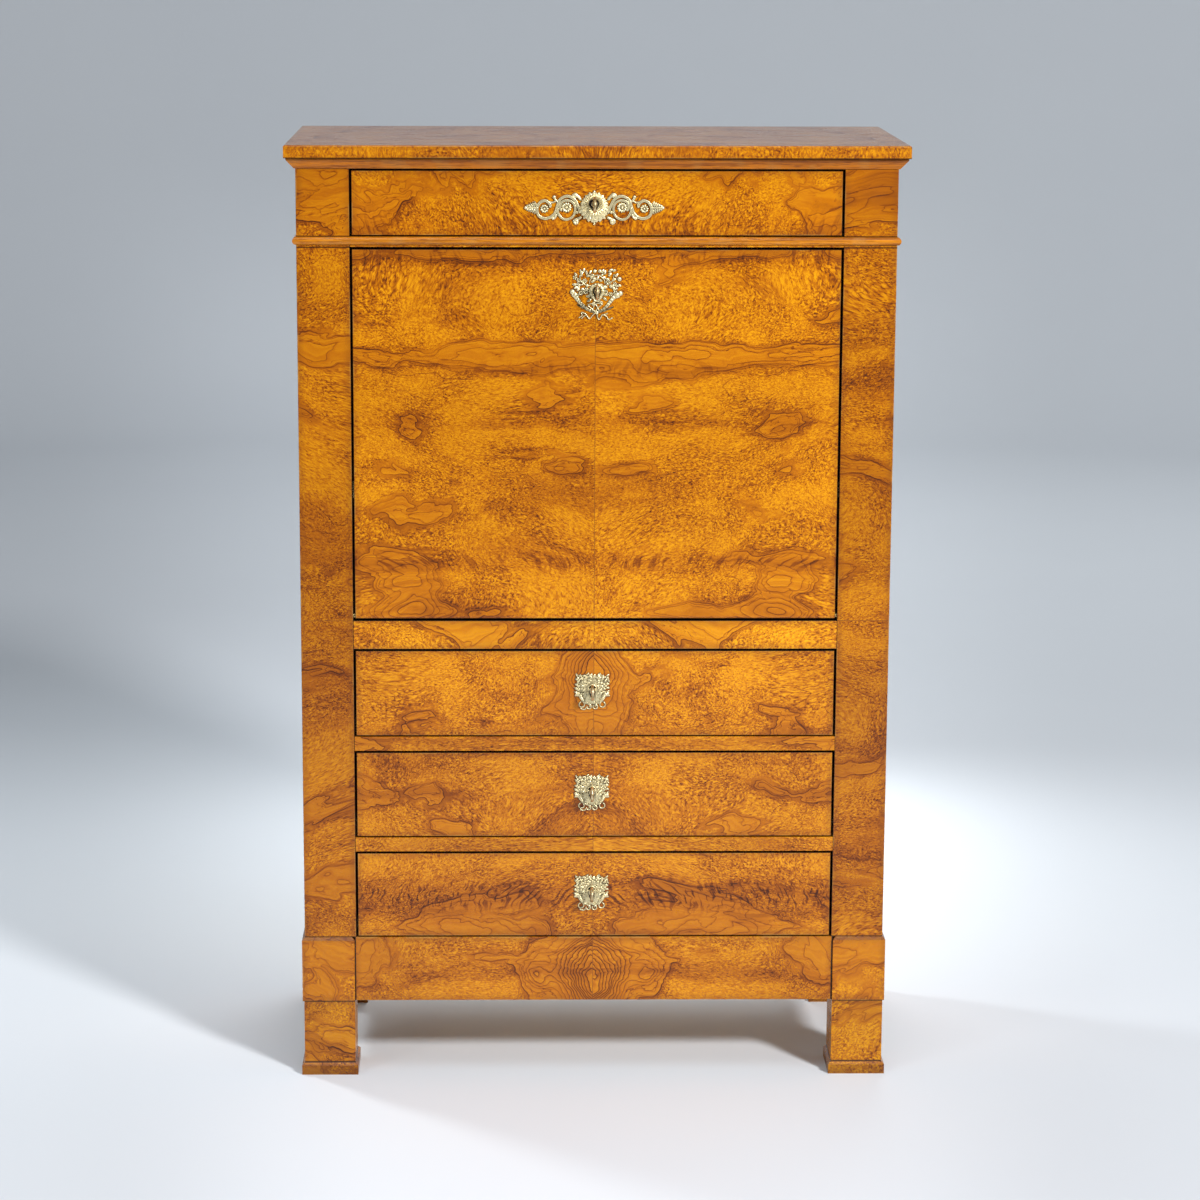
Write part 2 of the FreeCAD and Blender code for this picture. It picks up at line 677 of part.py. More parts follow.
def scroll_mount(prefix, key_x, mount_z, keyhole):
    """Long mount: a boss between two pairs of scrolls, linked by buds and ending in leaf tips."""
    rounds = [disc(prefix + "_boss", "boss_radius", key_x, mount_z)]
    boss_bud = "(boss_radius + scroll_reach - scroll_radius) / 2"
    tail_bud = "(scroll_reach + scroll_radius + tail_scroll_reach - tail_scroll_radius) / 2"
    leaf_root = "tail_scroll_reach + tail_scroll_radius - scroll_band"
    leaf_curve = "(leaf_tip_length ^ 2 / 4 + leaf_tip_half ^ 2) / (2 * leaf_tip_half)"
    for hand, side in (("left", -1), ("right", 1)):
        name = f"{prefix}_{hand}"
        rounds += scroll(name + "_scroll", "scroll_radius", "scroll_rosette",
                         f"{key_x} + {side} * scroll_reach", mount_z)
        rounds += scroll(name + "_tail", "tail_scroll_radius", "tail_scroll_rosette",
                         f"{key_x} + {side} * tail_scroll_reach", mount_z)
        for bud, out in (("boss_bud", boss_bud), ("tail_bud", tail_bud)):
            for level, rise in (("low", "- bud_rise"), ("high", "+ bud_rise")):
                rounds.append(disc(f"{name}_{bud}_{level}", "bud_radius",
                                   f"{key_x} + {side} * {out}", f"{mount_z} {rise}"))
        leaf = new_body(name + "_leaf", f"{key_x} + {side} * ({leaf_root})", "face", mount_z)
        tip = f"{side} * leaf_tip_length"
        outline = [("0", "0", leaf_curve, "left"), (tip, "0", leaf_curve, "left")]
        pad(leaf, draw(leaf, "XZ_Plane", outline), "mount_thickness")
        rounds.append(leaf)
    node(prefix + "_escutcheon", cut(prefix + "_mount", join(prefix + "_mount_blank", *rounds), keyhole))


# Four drawers with half-blind tails at the front and through tails at the back.
def drawer_side(name, x, base, opening):
    """Side of a drawer, with a row of tails on each end."""
    height = f"({opening}) - drawer_side_drop"
    length = "drawer_depth - drawer_front_thickness - drawer_wall"
    pitch = f"((({height}) - tail_margin - tail_top_margin) / tail_count)"
    low, high = f"tail_margin + {pitch} / 4", f"tail_margin + 3 * {pitch} / 4"
    body = new_body(name, x, "face + drawer_front_thickness", f"{base} + runner_clearance")
    pad(body, draw(body, "YZ_Plane", rectangle("0", length, "0", height)), "drawer_wall")
    for root, tip in (("0", "-tail_length"), (length, f"{length} + drawer_wall")):
        tail = [(root, low), (tip, f"{low} - tail_flare"), (tip, f"{high} + tail_flare"), (root, high)]
        raised = pad(body, draw(body, "YZ_Plane", tail), "drawer_wall")
        doc.recompute()
        row = body.newObject("PartDesign::LinearPattern", name + "_tails")
        row.Originals = [raised]
        row.Direction = (origin_feature(body, "Z_Axis"), [""])
        bind(row, Length=f"(tail_count - 1) * {pitch}", Occurrences="tail_count")
        body.Tip = row
    return body


def drawer(prefix, base, opening, key_drop):
    """Drawer with its front, dovetailed box and lock; returns the mortise that its bolt shoots into."""
    top = f"{base} + ({opening}) - drawer_top_gap"
    key_z = f"{base} + ({opening}) - {key_drop}"
    mortise, keyhole, strike = lock(prefix, "drawer_lock_offset", key_z, top, "drawer_front_thickness")
    inside = "drawer_half - drawer_wall"
    bottom_z = f"{base} + runner_clearance + drawer_bottom_lift"
    bottom = board(prefix + "_bottom", across(f"{inside} + drawer_groove"),
                   ("face + drawer_front_thickness - drawer_groove", "face + drawer_depth"),
                   (bottom_z, f"{bottom_z} + drawer_bottom_thickness"))
    right = drawer_side(prefix + "_side_right", inside, base, opening)
    left = drawer_side(prefix + "_side_left", "-drawer_half", base, opening)
    rear = board(prefix + "_rear", across("drawer_half"),
                 ("face + drawer_depth - drawer_wall", "face + drawer_depth"),
                 (f"{bottom_z} + drawer_bottom_thickness",
                  f"{base} + runner_clearance + ({opening}) - drawer_side_drop - drawer_back_drop"))
    front_blank = panel(prefix + "_front_blank", across("drawer_half"),
                        ("face", "face + drawer_front_thickness"), (f"{base} + drawer_bottom_gap", top))
    front_cuts = (left, right, bottom, mortise, keyhole)
    node(prefix + "_front", cut(prefix + "_front_board", front_blank, *front_cuts))
    node(prefix + "_box", cut(prefix + "_left", left, bottom), cut(prefix + "_right", right, bottom),
         cut(prefix + "_back", rear, left, right), bottom)
    if prefix == "frieze_drawer":
        scroll_mount(prefix, "drawer_lock_offset", f"{base} + ({opening}) - frieze_mount_drop", keyhole)
    else:
        flower_mount(prefix, "drawer_lock_offset", f"{base} + ({opening}) - drawer_mount_drop",
                     "drawer_mount_width", "drawer_mount_height", keyhole)
    return strike


frieze_strike = drawer("frieze_drawer", "frieze_base", "frieze_opening", "frieze_key_drop")
upper_strike = drawer("upper_drawer", "upper_base", "drawer_opening", "drawer_key_drop")
middle_strike = drawer("middle_drawer", "middle_base", "drawer_opening", "drawer_key_drop")
lower_strike = drawer("lower_drawer", "lower_base", "drawer_opening", "drawer_key_drop")

# Guides that keep each drawer straight behind the pilasters, and stops that its front closes against.
guides = []
for base in ("lower_base", "middle_base", "upper_base", "frieze_base"):
    guide = board("guide_" + base, ("drawer_half + guide_clearance", "side_inner"), behind_frame,
                  (base, f"{base} + guide_height"))
    stop_front = "face + drawer_front_thickness + runner_clearance"
    stop = board("stop_" + base, across("stop_width / 2", "stop_spacing / 2"),
                 (stop_front, f"{stop_front} + stop_depth"), (base, f"{base} + stop_height"))
    guides += [guide, mirrored(guide.Name + "_left", guide), stop, mirrored(stop.Name + "_left", stop)]
node("drawer_guides", *guides)

# The fall: a panel that turns on two pins low in its ends. Its lower front edge is rounded about the pins,
# and a lip on its inner side drops behind the rail, to meet the writing floor when the fall is open.
fall_key_level = "frieze_rail - fall_key_drop"
fall_mortise, fall_keyhole, fall_strike = lock("fall", "0", fall_key_level, "fall_top", "fall_thickness")
fall_blank = new_body("fall_blank", "-fall_half", "pivot_depth", "pivot_level")
fall_section = [
    ("-pivot_inset", "-pivot_inset"), ("lip_front", "-pivot_inset"), ("lip_front", "-lip_drop"),
    ("fall_inner", "-lip_drop"), ("fall_inner", "fall_top - pivot_level"),
    ("-pivot_inset", "fall_top - pivot_level"),
]
fall_slab = pad(fall_blank, draw(fall_blank, "YZ_Plane", fall_section), "2 * fall_half")
outer_face = -value("pivot_inset")
rounded = dress(fall_blank, "Fillet", fall_slab, "pivot_inset",
                lambda point: near(point.y, outer_face) and near(point.z, outer_face))
dress(fall_blank, "Fillet", rounded, "edge_easing",
      lambda point: near(point.y, outer_face) and near(point.z, value("fall_top - pivot_level")))
strap_round = rod("strap_round", "x", "pivot_inset - swing_clearance", "strap_thickness",
                  "fall_half - strap_thickness", "pivot_depth", "pivot_level")
strap_bar = board("strap_bar", ("fall_half - strap_thickness", "fall_half"),
                  across("pivot_inset - swing_clearance", "pivot_depth"),
                  ("pivot_level", "pivot_level + strap_length"))
pin = rod("pivot_pin", "x", "pin_radius", "strap_thickness + fall_side_gap + pin_length",
          "fall_half - strap_thickness", "pivot_depth", "pivot_level")
strap = join("pivot_strap", strap_round, strap_bar)
pivot = join("fall_pivot", strap, pin)
node("fall_pivots", pivot, mirrored("fall_pivot_left", pivot))
inner_face = "pivot_depth + fall_inner"
leather = board("leather", across("fall_half - leather_side_margin"),
                (f"{inner_face} - leather_thickness", inner_face),
                ("pivot_level + leather_margin", f"{fall_key_level} - lock_foot - leather_margin / 2"))
node("writing_leather", leather)
quadrant_foot = board("quadrant_foot",
                      ("quadrant_place - quadrant_inset / 2", "fall_half - quadrant_inset / 4"),
                      (f"{inner_face} - quadrant_foot_thickness", inner_face),
                      across("quadrant_foot_length / 2", "pivot_level + quadrant_radius"))
quadrant_feet = (quadrant_foot, mirrored("quadrant_foot_left", quadrant_foot))
straps = (strap, mirrored("pivot_strap_left", strap))
fall_cuts = (*straps, leather, *quadrant_feet, fall_mortise, fall_keyhole)
node("fall_panel", cut("fall_board", fall_blank, *fall_cuts))
flower_mount("fall", "0", "frieze_rail - fall_mount_drop",
             "fall_mount_width", "fall_mount_height", fall_keyhole)

# Brass quadrants fixed inside the fall. Each one runs through a keeper, and its stud stops the fall level.
quadrant_arc = new_body("quadrant_arc", "quadrant_place", "pivot_depth", "pivot_level")
arc_section = [
    ("sqrt(quadrant_outer ^ 2 - quadrant_end ^ 2)", "-quadrant_end", "quadrant_outer", "left"),
    ("fall_inner", "sqrt(quadrant_outer ^ 2 - fall_inner ^ 2)"),
    ("fall_inner", "sqrt(quadrant_core ^ 2 - fall_inner ^ 2)", "quadrant_core", "right"),
    ("sqrt(quadrant_core ^ 2 - quadrant_end ^ 2)", "-quadrant_end"),
]
pad(quadrant_arc, draw(quadrant_arc, "YZ_Plane", arc_section), "quadrant_thickness")
stud = rod("quadrant_stud", "x", "stud_radius", "stud_length", f"{slot_middle} - stud_length / 2",
           "pivot_depth + sqrt(quadrant_radius ^ 2 - stud_drop ^ 2)", "pivot_level - stud_drop")
quadrant = join("quadrant", quadrant_arc, quadrant_foot, stud)
node("fall_quadrants", quadrant, mirrored("quadrant_left", quadrant))
keeper_y = ("pivot_depth + keeper_front", "pivot_depth + keeper_back")
keeper_low = "pivot_level + sqrt(quadrant_core ^ 2 - keeper_back ^ 2) - keeper_clearance"
keeper_high = "pivot_level + sqrt(quadrant_outer ^ 2 - keeper_front ^ 2) + keeper_clearance"
keeper_plate = board("keeper_plate", (f"{slot_middle} - stud_length / 2", "opening_half"), keeper_y,
                     (f"{keeper_low} - keeper_margin", f"{keeper_high} + keeper_margin"))
keeper_hole = board("keeper_hole", across("quadrant_thickness / 2 + swing_clearance", slot_middle),
                    keeper_y, (keeper_low, keeper_high))
keeper = cut("keeper", keeper_plate, keeper_hole)
node("quadrant_keepers", keeper, mirrored("keeper_left", keeper))

# Rails across the front, each mortised underneath for the bolt of the lock below it.
rail_depth = ("front", "frame_back")
rails = []
for name, half, low, high, strike in (
        ("top_rail", "half_width", "cornice_base", "top_base", frieze_strike),
        ("frieze_rail", "opening_half", "frieze_rail", "frieze_base", fall_strike),
        ("upper_rail", "opening_half", "upper_rail", "upper_base", middle_strike),
        ("lower_rail", "opening_half", "lower_rail", "middle_base", lower_strike)):
    rail_blank = panel(name + "_blank", across(half), rail_depth, (low, high))
    rails.append(cut(name, rail_blank, strike))
node("front_rails", *rails)
rebate = board("fall_rail_rebate", across("opening_half"),
               ("pivot_depth + lip_front - rebate_clearance", "frame_back"),
               ("pivot_level - lip_drop - rebate_clearance", "fall_base"))
fall_rail_blank = panel("fall_rail_blank", across("opening_half"), rail_depth, ("fall_rail", "fall_base"))
node("fall_rail", cut("fall_rail_board", fall_rail_blank, rebate, upper_strike))

# Linings of the writing compartment, and the gallery of pigeonholes and small drawers that stands in it.
compartment_z = ("floor_top", "frieze_rail")
lining = board("lining", ("opening_half", "opening_half + lining_thickness"), behind_frame, compartment_z)
node("compartment_linings", lining, mirrored("lining_left", lining))
gallery_y = ("gallery_front", "inner_back")
gallery = []
for name, low, high in (("gallery_side", "column_outer", "gallery_half"),
                        ("gallery_divider", "centre_half", "column_inner")):
    upright = board(name, (low, high), gallery_y, compartment_z)
    gallery += [upright, mirrored(name + "_left", upright)]
for level in ("floor_top + small_opening", "floor_top + small_pitch + small_opening",
              "shelf_level - gallery_board", "pigeon_shelf"):
    shelf_z = (level, f"{level} + gallery_board")
    shelf = board("column_shelf", ("column_inner", "column_outer"), gallery_y, shelf_z)
    gallery += [shelf, mirrored("column_shelf_left", shelf)]
for level in ("shelf_level - gallery_board", "pigeon_shelf"):
    shelf_z = (level, f"{level} + gallery_board")
    gallery.append(board("centre_shelf", across("centre_half"), gallery_y, shelf_z))
node("gallery_case", *gallery)


def turned_knob(name, x, y, z):
    """Turned knob that stands on a drawer front: a foot, a neck and a domed head."""
    body = new_body(name, x, y, z)
    profile = [
        ("0", "0"), ("0", "-knob_length", "knob_dome", "left"), ("knob_radius", "-knob_shoulder"),
        ("knob_neck_radius", "-knob_neck_end"), ("knob_neck_radius", "-knob_neck_start"),
        ("knob_foot_radius", "0"),
    ]
    turning = body.newObject("PartDesign::Revolution", name + "_turning")
    turning.Profile = draw(body, "XY_Plane", profile)
    turning.ReferenceAxis = (origin_feature(body, "Y_Axis"), [""])
    turning.Angle = 360
    return body


def small_drawer(name, side, row):
    """Small drawer of the gallery with its box and turned knob."""
    base = f"floor_top + {row} * small_pitch"
    middle = f"{side} * (column_inner + gallery_column / 2)"
    half = "gallery_column / 2 - small_gap"
    box_y = ("gallery_front + small_front", "gallery_front + small_depth")
    low = f"{base} + runner_clearance"
    high = f"{base} + small_opening - small_gap"
    front = board(name + "_face", across(half, middle), ("gallery_front", box_y[0]), (low, high))
    wall_z = (low, f"{high} - small_back_drop")
    inside = f"{half} - small_wall"
    box = [
        board(name + "_wall_left", (f"{middle} - ({half})", f"{middle} - ({inside})"), box_y, wall_z),
        board(name + "_wall_right", (f"{middle} + {inside}", f"{middle} + {half}"), box_y, wall_z),
        board(name + "_rear", across(inside, middle), (f"{box_y[1]} - small_wall", box_y[1]), wall_z),
        board(name + "_base", across(inside, middle), (box_y[0], f"{box_y[1]} - small_wall"),
              (low, f"{low} + small_bottom")),
    ]
    knob = turned_knob(name + "_knob", middle, "gallery_front", f"{base} + small_opening / 2")
    node(name, front, *box, knob)


for side_name, side_sign in (("left", -1), ("right", 1)):
    for row, row_name in enumerate(("low", "middle", "high")):
        small_drawer(f"small_drawer_{side_name}_{row_name}", side_sign, row)

# Framed back: two stiles, three rails and two panels held in grooves.
back_y = ("inner_back", "back")
stile_inner = "side_inner - back_stile_width"
middle_low = "(lower_base + top_base - back_rail_height) / 2"
middle_high = f"{middle_low} + back_rail_height"
panel_y = across("back_panel_thickness / 2", "inner_back + back_thickness / 2")
lower_panel = board("lower_panel", across(f"{stile_inner} + back_groove"), panel_y,
                    ("lower_base + back_rail_height - back_groove", f"{middle_low} + back_groove"))
upper_panel = board("upper_panel", across(f"{stile_inner} + back_groove"), panel_y,
                    (f"{middle_high} - back_groove", "top_base - back_rail_height + back_groove"))
stile_blank = board("stile_blank", (stile_inner, "side_inner"), back_y, ("lower_base", "top_base"))
back_stile = cut("back_stile", stile_blank, lower_panel, upper_panel)
back_frame = [back_stile, mirrored("back_stile_left", back_stile)]
for low, high in (("lower_base", "lower_base + back_rail_height"), (middle_low, middle_high),
                  ("top_base - back_rail_height", "top_base")):
    rail_blank = board("back_rail_blank", across(stile_inner), back_y, (low, high))
    back_frame.append(cut("back_rail", rail_blank, lower_panel, upper_panel))
node("framed_back", *back_frame, lower_panel, upper_panel)

# Astragal: a bead mitred round the carcass under the frieze.
bead_radius = "((astragal_height / 2) ^ 2 + astragal_projection ^ 2) / (2 * astragal_projection)"
bead = [("0", "0", bead_radius, "left"), ("0", "astragal_height")]
node("astragal", *moulding("bead", "frieze_base - astragal_height", "astragal_projection", bead))

# Cornice: a bevelled moulding under the overhang of the top.
bevel = [
    ("0", "0"), ("cornice_foot", "0"), ("cornice_projection", "cornice_height - cornice_fillet"),
    ("cornice_projection", "cornice_height"), ("0", "cornice_height"),
]
node("cornice_moulding", *moulding("cornice", "cornice_base", "cornice_projection", bevel))

# Top board with rounded upper edges.
top_board = new_body("top_slab", "0", "back", "top_base")
top_outline = rectangle("-(half_width + top_overhang_side)", "half_width + top_overhang_side",
                        "-(carcass_depth + top_overhang_front)", "0")
top_slab = pad(top_board, draw(top_board, "XY_Plane", top_outline), "top_thickness")
top_height = value("top_thickness")
dress(top_board, "Fillet", top_slab, "top_edge_radius", lambda point: near(point.z, top_height))
node("top_board", top_board)

# Check every piece, then write each one to its own file.
doc.recompute()
faults = [item.Label for item in doc.Objects if {"Invalid", "Error"} & set(item.State)]
for part in nodes:
    if part.Shape.isNull() or not part.Shape.isValid() or not part.Shape.Solids:
        faults.append(part.Label)
if faults:
    raise RuntimeError("These pieces failed: " + ", ".join(faults))
os.makedirs("parts", exist_ok=True)
for part in nodes:
    part.Shape.exportStep(f"parts/{part.Label}.step")
print(f"{len(nodes)} sub-parts, {sum(len(part.Shape.Solids) for part in nodes)} solids")
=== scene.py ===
import math
import bmesh
import bpy
import numpy as np
from mathutils import Matrix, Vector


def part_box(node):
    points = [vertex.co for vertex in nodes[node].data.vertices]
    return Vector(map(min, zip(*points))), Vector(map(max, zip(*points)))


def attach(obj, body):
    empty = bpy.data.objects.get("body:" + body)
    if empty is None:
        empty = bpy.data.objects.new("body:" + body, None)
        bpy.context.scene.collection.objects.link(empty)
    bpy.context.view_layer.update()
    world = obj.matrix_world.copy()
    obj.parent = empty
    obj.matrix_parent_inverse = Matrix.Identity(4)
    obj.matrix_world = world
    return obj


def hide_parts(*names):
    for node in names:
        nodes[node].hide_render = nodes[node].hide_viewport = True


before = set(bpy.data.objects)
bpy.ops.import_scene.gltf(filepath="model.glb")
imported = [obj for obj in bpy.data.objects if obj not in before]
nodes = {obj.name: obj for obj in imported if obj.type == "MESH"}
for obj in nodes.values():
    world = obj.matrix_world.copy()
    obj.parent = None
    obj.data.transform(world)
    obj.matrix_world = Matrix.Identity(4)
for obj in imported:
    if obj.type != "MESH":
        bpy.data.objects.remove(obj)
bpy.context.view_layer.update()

scene = bpy.context.scene


# Camera
# The view of a long lens from in front of the cabinet and a little above its top, turned slightly
# down, with the frame slid sideways by a thirtieth of its width.
eye = (-0.1327, -5.536, 1.8581)
pitch, yaw, roll = math.radians(11.396), math.radians(-0.824), math.radians(0.14)
level_ahead = np.array([-math.sin(yaw), math.cos(yaw), 0.0])
level_right = np.array([math.cos(yaw), math.sin(yaw), 0.0])
upward = np.array([0.0, 0.0, 1.0])
ahead = math.cos(pitch) * level_ahead - math.sin(pitch) * upward
level_above = math.sin(pitch) * level_ahead + math.cos(pitch) * upward
right = math.cos(roll) * level_right + math.sin(roll) * level_above
above = -math.sin(roll) * level_right + math.cos(roll) * level_above


def stand(thing, axes, spot):
    """Puts a lamp or camera at a spot, with its own x, y and z along the three axes."""
    holder = bpy.data.objects.new(thing.name, thing)
    turned = np.stack(axes, 1).tolist()
    holder.matrix_world = Matrix([[*row, at] for row, at in zip(turned, spot)] + [[0, 0, 0, 1]])
    scene.collection.objects.link(holder)
    return holder


lens = bpy.data.cameras.new("camera")
lens.lens, lens.sensor_width, lens.shift_x = 103.08, 36.0, 40 / 1200
scene.camera = stand(lens, (right, above, -ahead), eye)
scene.view_settings.view_transform = "Standard"


# Studio
# A pale paper floor that curves up into a wall all round, far from the cabinet. Its colour is painted
# greyer out to both sides and up the wall as painted shade, and near black in front as a painted dark
# room. Three soft lamps light the cabinet's front, and three its back and the paper behind it.
def shells_mesh(name, shells, merge=1e-7):
    """One mesh from grids of points. Each grid is a closed round in its second direction, and in its first
    too where it is marked as a ring; ends that are drawn to a point are merged there."""
    points, faces, start = [], [], 0
    for grid, ring in shells:
        rows, columns = grid.shape[:2]
        u, v = np.meshgrid(np.arange(rows - (not ring)), np.arange(columns), indexing="ij")
        nu, nv = (u + 1) % rows, (v + 1) % columns
        corners = [u * columns + v, nu * columns + v, nu * columns + nv, u * columns + nv]
        faces.append(start + np.stack(corners, -1).reshape(-1, 4))
        points.append(grid.reshape(-1, 3))
        start += rows * columns
    mesh = bpy.data.meshes.new(name)
    mesh.from_pydata(np.concatenate(points).tolist(), [], np.concatenate(faces).tolist())
    work = bmesh.new()
    work.from_mesh(mesh)
    bmesh.ops.remove_doubles(work, verts=work.verts, dist=merge)
    bmesh.ops.recalc_face_normals(work, faces=work.faces)
    work.to_mesh(mesh)
    work.free()
    mesh.polygons.foreach_set("use_smooth", np.ones(len(mesh.polygons), bool))
    made = bpy.data.objects.new(name, mesh)
    scene.collection.objects.link(made)
    return made


def paper_bowl(flat, bend, height, steps, turns):
    """A line that runs out flat, turns up by a quarter circle of radius bend and ends as a wall, spun about
    the upright axis."""
    turn = np.linspace(0, math.pi / 2, steps)
    out = np.concatenate([[0.0], flat + bend * np.sin(turn), [flat + bend]])
    up = np.concatenate([[0.0], bend * (1 - np.cos(turn)), [height]])
    angle = np.linspace(0, 2 * math.pi, turns, endpoint=False)
    return np.stack([out[:, None] * np.cos(angle), out[:, None] * np.sin(angle),
                     np.repeat(up[:, None], turns, 1)], -1)


def tree_of(name):
    """A new material: its node tree, its shader and its Object coordinates."""
    made = bpy.data.materials.new(name)
    made.use_nodes = True
    shader = made.node_tree.nodes["Principled BSDF"]
    place = made.node_tree.nodes.new("ShaderNodeTexCoord").outputs["Object"]
    return made, made.node_tree, shader, place


def step(tree, kind, *inputs, out=0, **fields):
    """One node: its fields are set, and each input is a value or the socket that feeds it."""
    made = tree.nodes.new("ShaderNode" + kind)
    for field, value in fields.items():
        setattr(made, field, value)
    for socket, value in zip(made.inputs, inputs):
        if isinstance(value, bpy.types.NodeSocket):
            tree.links.new(value, socket)
        elif value is not None:
            socket.default_value = value
    return made.outputs[out]


def noise(tree, place, scale, detail=2.0, rough=0.5, bend=0.0, colour=False):
    """Cloudy noise of so many waves a metre, from 0 to 1, or as a colour for bending other places."""
    return step(tree, "TexNoise", place, None, scale, detail, rough, 2.0, 0.0, 1.0, bend, out=int(colour))


def reckon(tree, how, *values):
    """One sum of the Math node."""
    return step(tree, "Math", *values, operation=how)


def times(tree, one, other, plus=None):
    """One value times another, with a third added if it is given."""
    if plus is None:
        return reckon(tree, "MULTIPLY", one, other)
    return reckon(tree, "MULTIPLY_ADD", one, other, plus)


def apart(tree, one, other):
    """How far two values are from each other."""
    return reckon(tree, "ABSOLUTE", reckon(tree, "SUBTRACT", one, other))


def ease(tree, value, low, high, start=0.0, end=1.0):
    """Goes smoothly from start to end while the value goes from low to high."""
    return step(tree, "MapRange", value, low, high, start, end, interpolation_type="SMOOTHSTEP")


def fade(tree, value, low, high, start=1.0):
    """Goes smoothly from start to nothing while the value goes from low to high."""
    return ease(tree, value, low, high, start, 0.0)


def mapped(tree, place, stretch=(1, 1, 1), move=(0, 0, 0)):
    """The place, stretched and moved."""
    return step(tree, "Mapping", place, move, (0, 0, 0), stretch)


def between(tree, share, one, other):
    """A number part of the way from one to the other."""
    return step(tree, "Mix", share, None, one, other)


def mix(tree, share, one, other, how="MIX"):
    """A blend of two colours by a share."""
    made = tree.nodes.new("ShaderNodeMix")
    made.data_type, made.blend_type = "RGBA", how
    for index, value in ((0, share), (6, one), (7, other)):
        if isinstance(value, bpy.types.NodeSocket):
            tree.links.new(value, made.inputs[index])
        else:
            made.inputs[index].default_value = (*value, 1.0) if index else value
    return made.outputs[2]


def feed(tree, shader, **values):
    """Joins sockets or sets values on the shader, by its socket names with spaces as underscores."""
    for name, value in values.items():
        socket = shader.inputs[name.replace("_", " ")]
        if isinstance(value, bpy.types.NodeSocket):
            tree.links.new(value, socket)
        else:
            socket.default_value = (*value, 1.0) if isinstance(value, tuple) else value


def relief(tree, shader, height, depth, strength=1.0):
    """Bump of the given depth in metres from a height of 0 to 1."""
    feed(tree, shader, Normal=step(tree, "Bump", strength, depth, None, height))


def dress(finish, *names):
    """Gives a finish to CAD nodes, in every slot that they have."""
    for name in names:
        for slot in nodes[name].material_slots:
            slot.material = finish


paper, tree, shader, place = tree_of("studio_paper")
parts = step(tree, "SeparateXYZ", place).node.outputs
# The paper is painted near black in front as a painted dark room, and greyer out to both sides and up the
# wall as painted shade.
lit_part = ease(tree, parts[1], -4.4, -2.6)
eye_distance = reckon(tree, "MAXIMUM", reckon(tree, "ADD", parts[1], 5.5), 1.0)
sideways = reckon(tree, "DIVIDE", reckon(tree, "ABSOLUTE", parts[0]), eye_distance)
wall = ease(tree, parts[2], 0.1, 1.0)
painted_side_and_wall_shade = between(tree, wall, ease(tree, sideways, 0.06, 0.16, 0.0, 0.18), 0.2)
black, painted_dark_room = (0.0, 0.0, 0.0), (0.09, 0.09, 0.095)
pale = mix(tree, noise(tree, place, 1.3, 3), (0.80, 0.83, 0.865), (0.83, 0.86, 0.89))
pale = mix(tree, painted_side_and_wall_shade, pale, black)
feed(tree, shader, Base_Color=mix(tree, lit_part, painted_dark_room, pale), Roughness=0.85)
sweep = shells_mesh("studio_sweep", [(paper_bowl(flat=6.6, bend=2.4, height=8.0, steps=24, turns=96), False)])
sweep.data.flip_normals()
sweep.data.materials.append(paper)

for name, spot, aim, width, power, tone in (
        ("lamp_right", (3.9, -5.6, 4.25), (0.0, -0.3, 0.6), 1.1, 610, (0.98, 0.985, 1.0)),
        ("lamp_left", (-2.9, -3.2, 2.3), (0.0, -0.3, 0.4), 1.4, 24, (0.97, 0.98, 1.0)),
        ("lamp_over", (0.0, -1.7, 4.2), (0.0, -0.9, 0.0), 2.0, 32, (0.78, 0.90, 1.0)),
        ("lamp_behind", (-2.2, 1.5, 2.4), (0.2, -1.1, 1.2), 0.5, 40, (0.90, 0.96, 1.0)),
        ("lamp_low", (0.2, 1.3, 0.9), (0.1, 0.3, 0.0), 1.5, 11, (0.95, 0.98, 1.0)),
        ("lamp_far", (1.3, 4.5, 3.3), (1.1, 5.6, 0.1), 2.2, 40, (0.94, 0.98, 1.0))):
    lamp = bpy.data.lights.new(name, "AREA")
    lamp.shape, lamp.size, lamp.energy, lamp.color = "DISK", width, power, tone
    toward = np.array(aim) - np.array(spot)
    toward = toward / np.linalg.norm(toward)
    side = np.cross(toward, upward)
    side = side / np.linalg.norm(side)
    stand(lamp, (side, np.cross(side, toward), -toward), spot)

room = bpy.data.worlds.new("studio_air")
room.use_nodes = True
air = room.node_tree.nodes["Background"].inputs
air["Color"].default_value, air["Strength"].default_value = (0.86, 0.92, 1.0, 1.0), 0.26
scene.world = room


# Feet
# Four square blocks, each on a wider moulded toe, cut from beech and veneered with burr ash on their
# shown faces. They are glued and blocked under the corners of the plinth.
front_face = -0.209
dirt_and_shade_tone = (0.03, 0.010, 0.003)


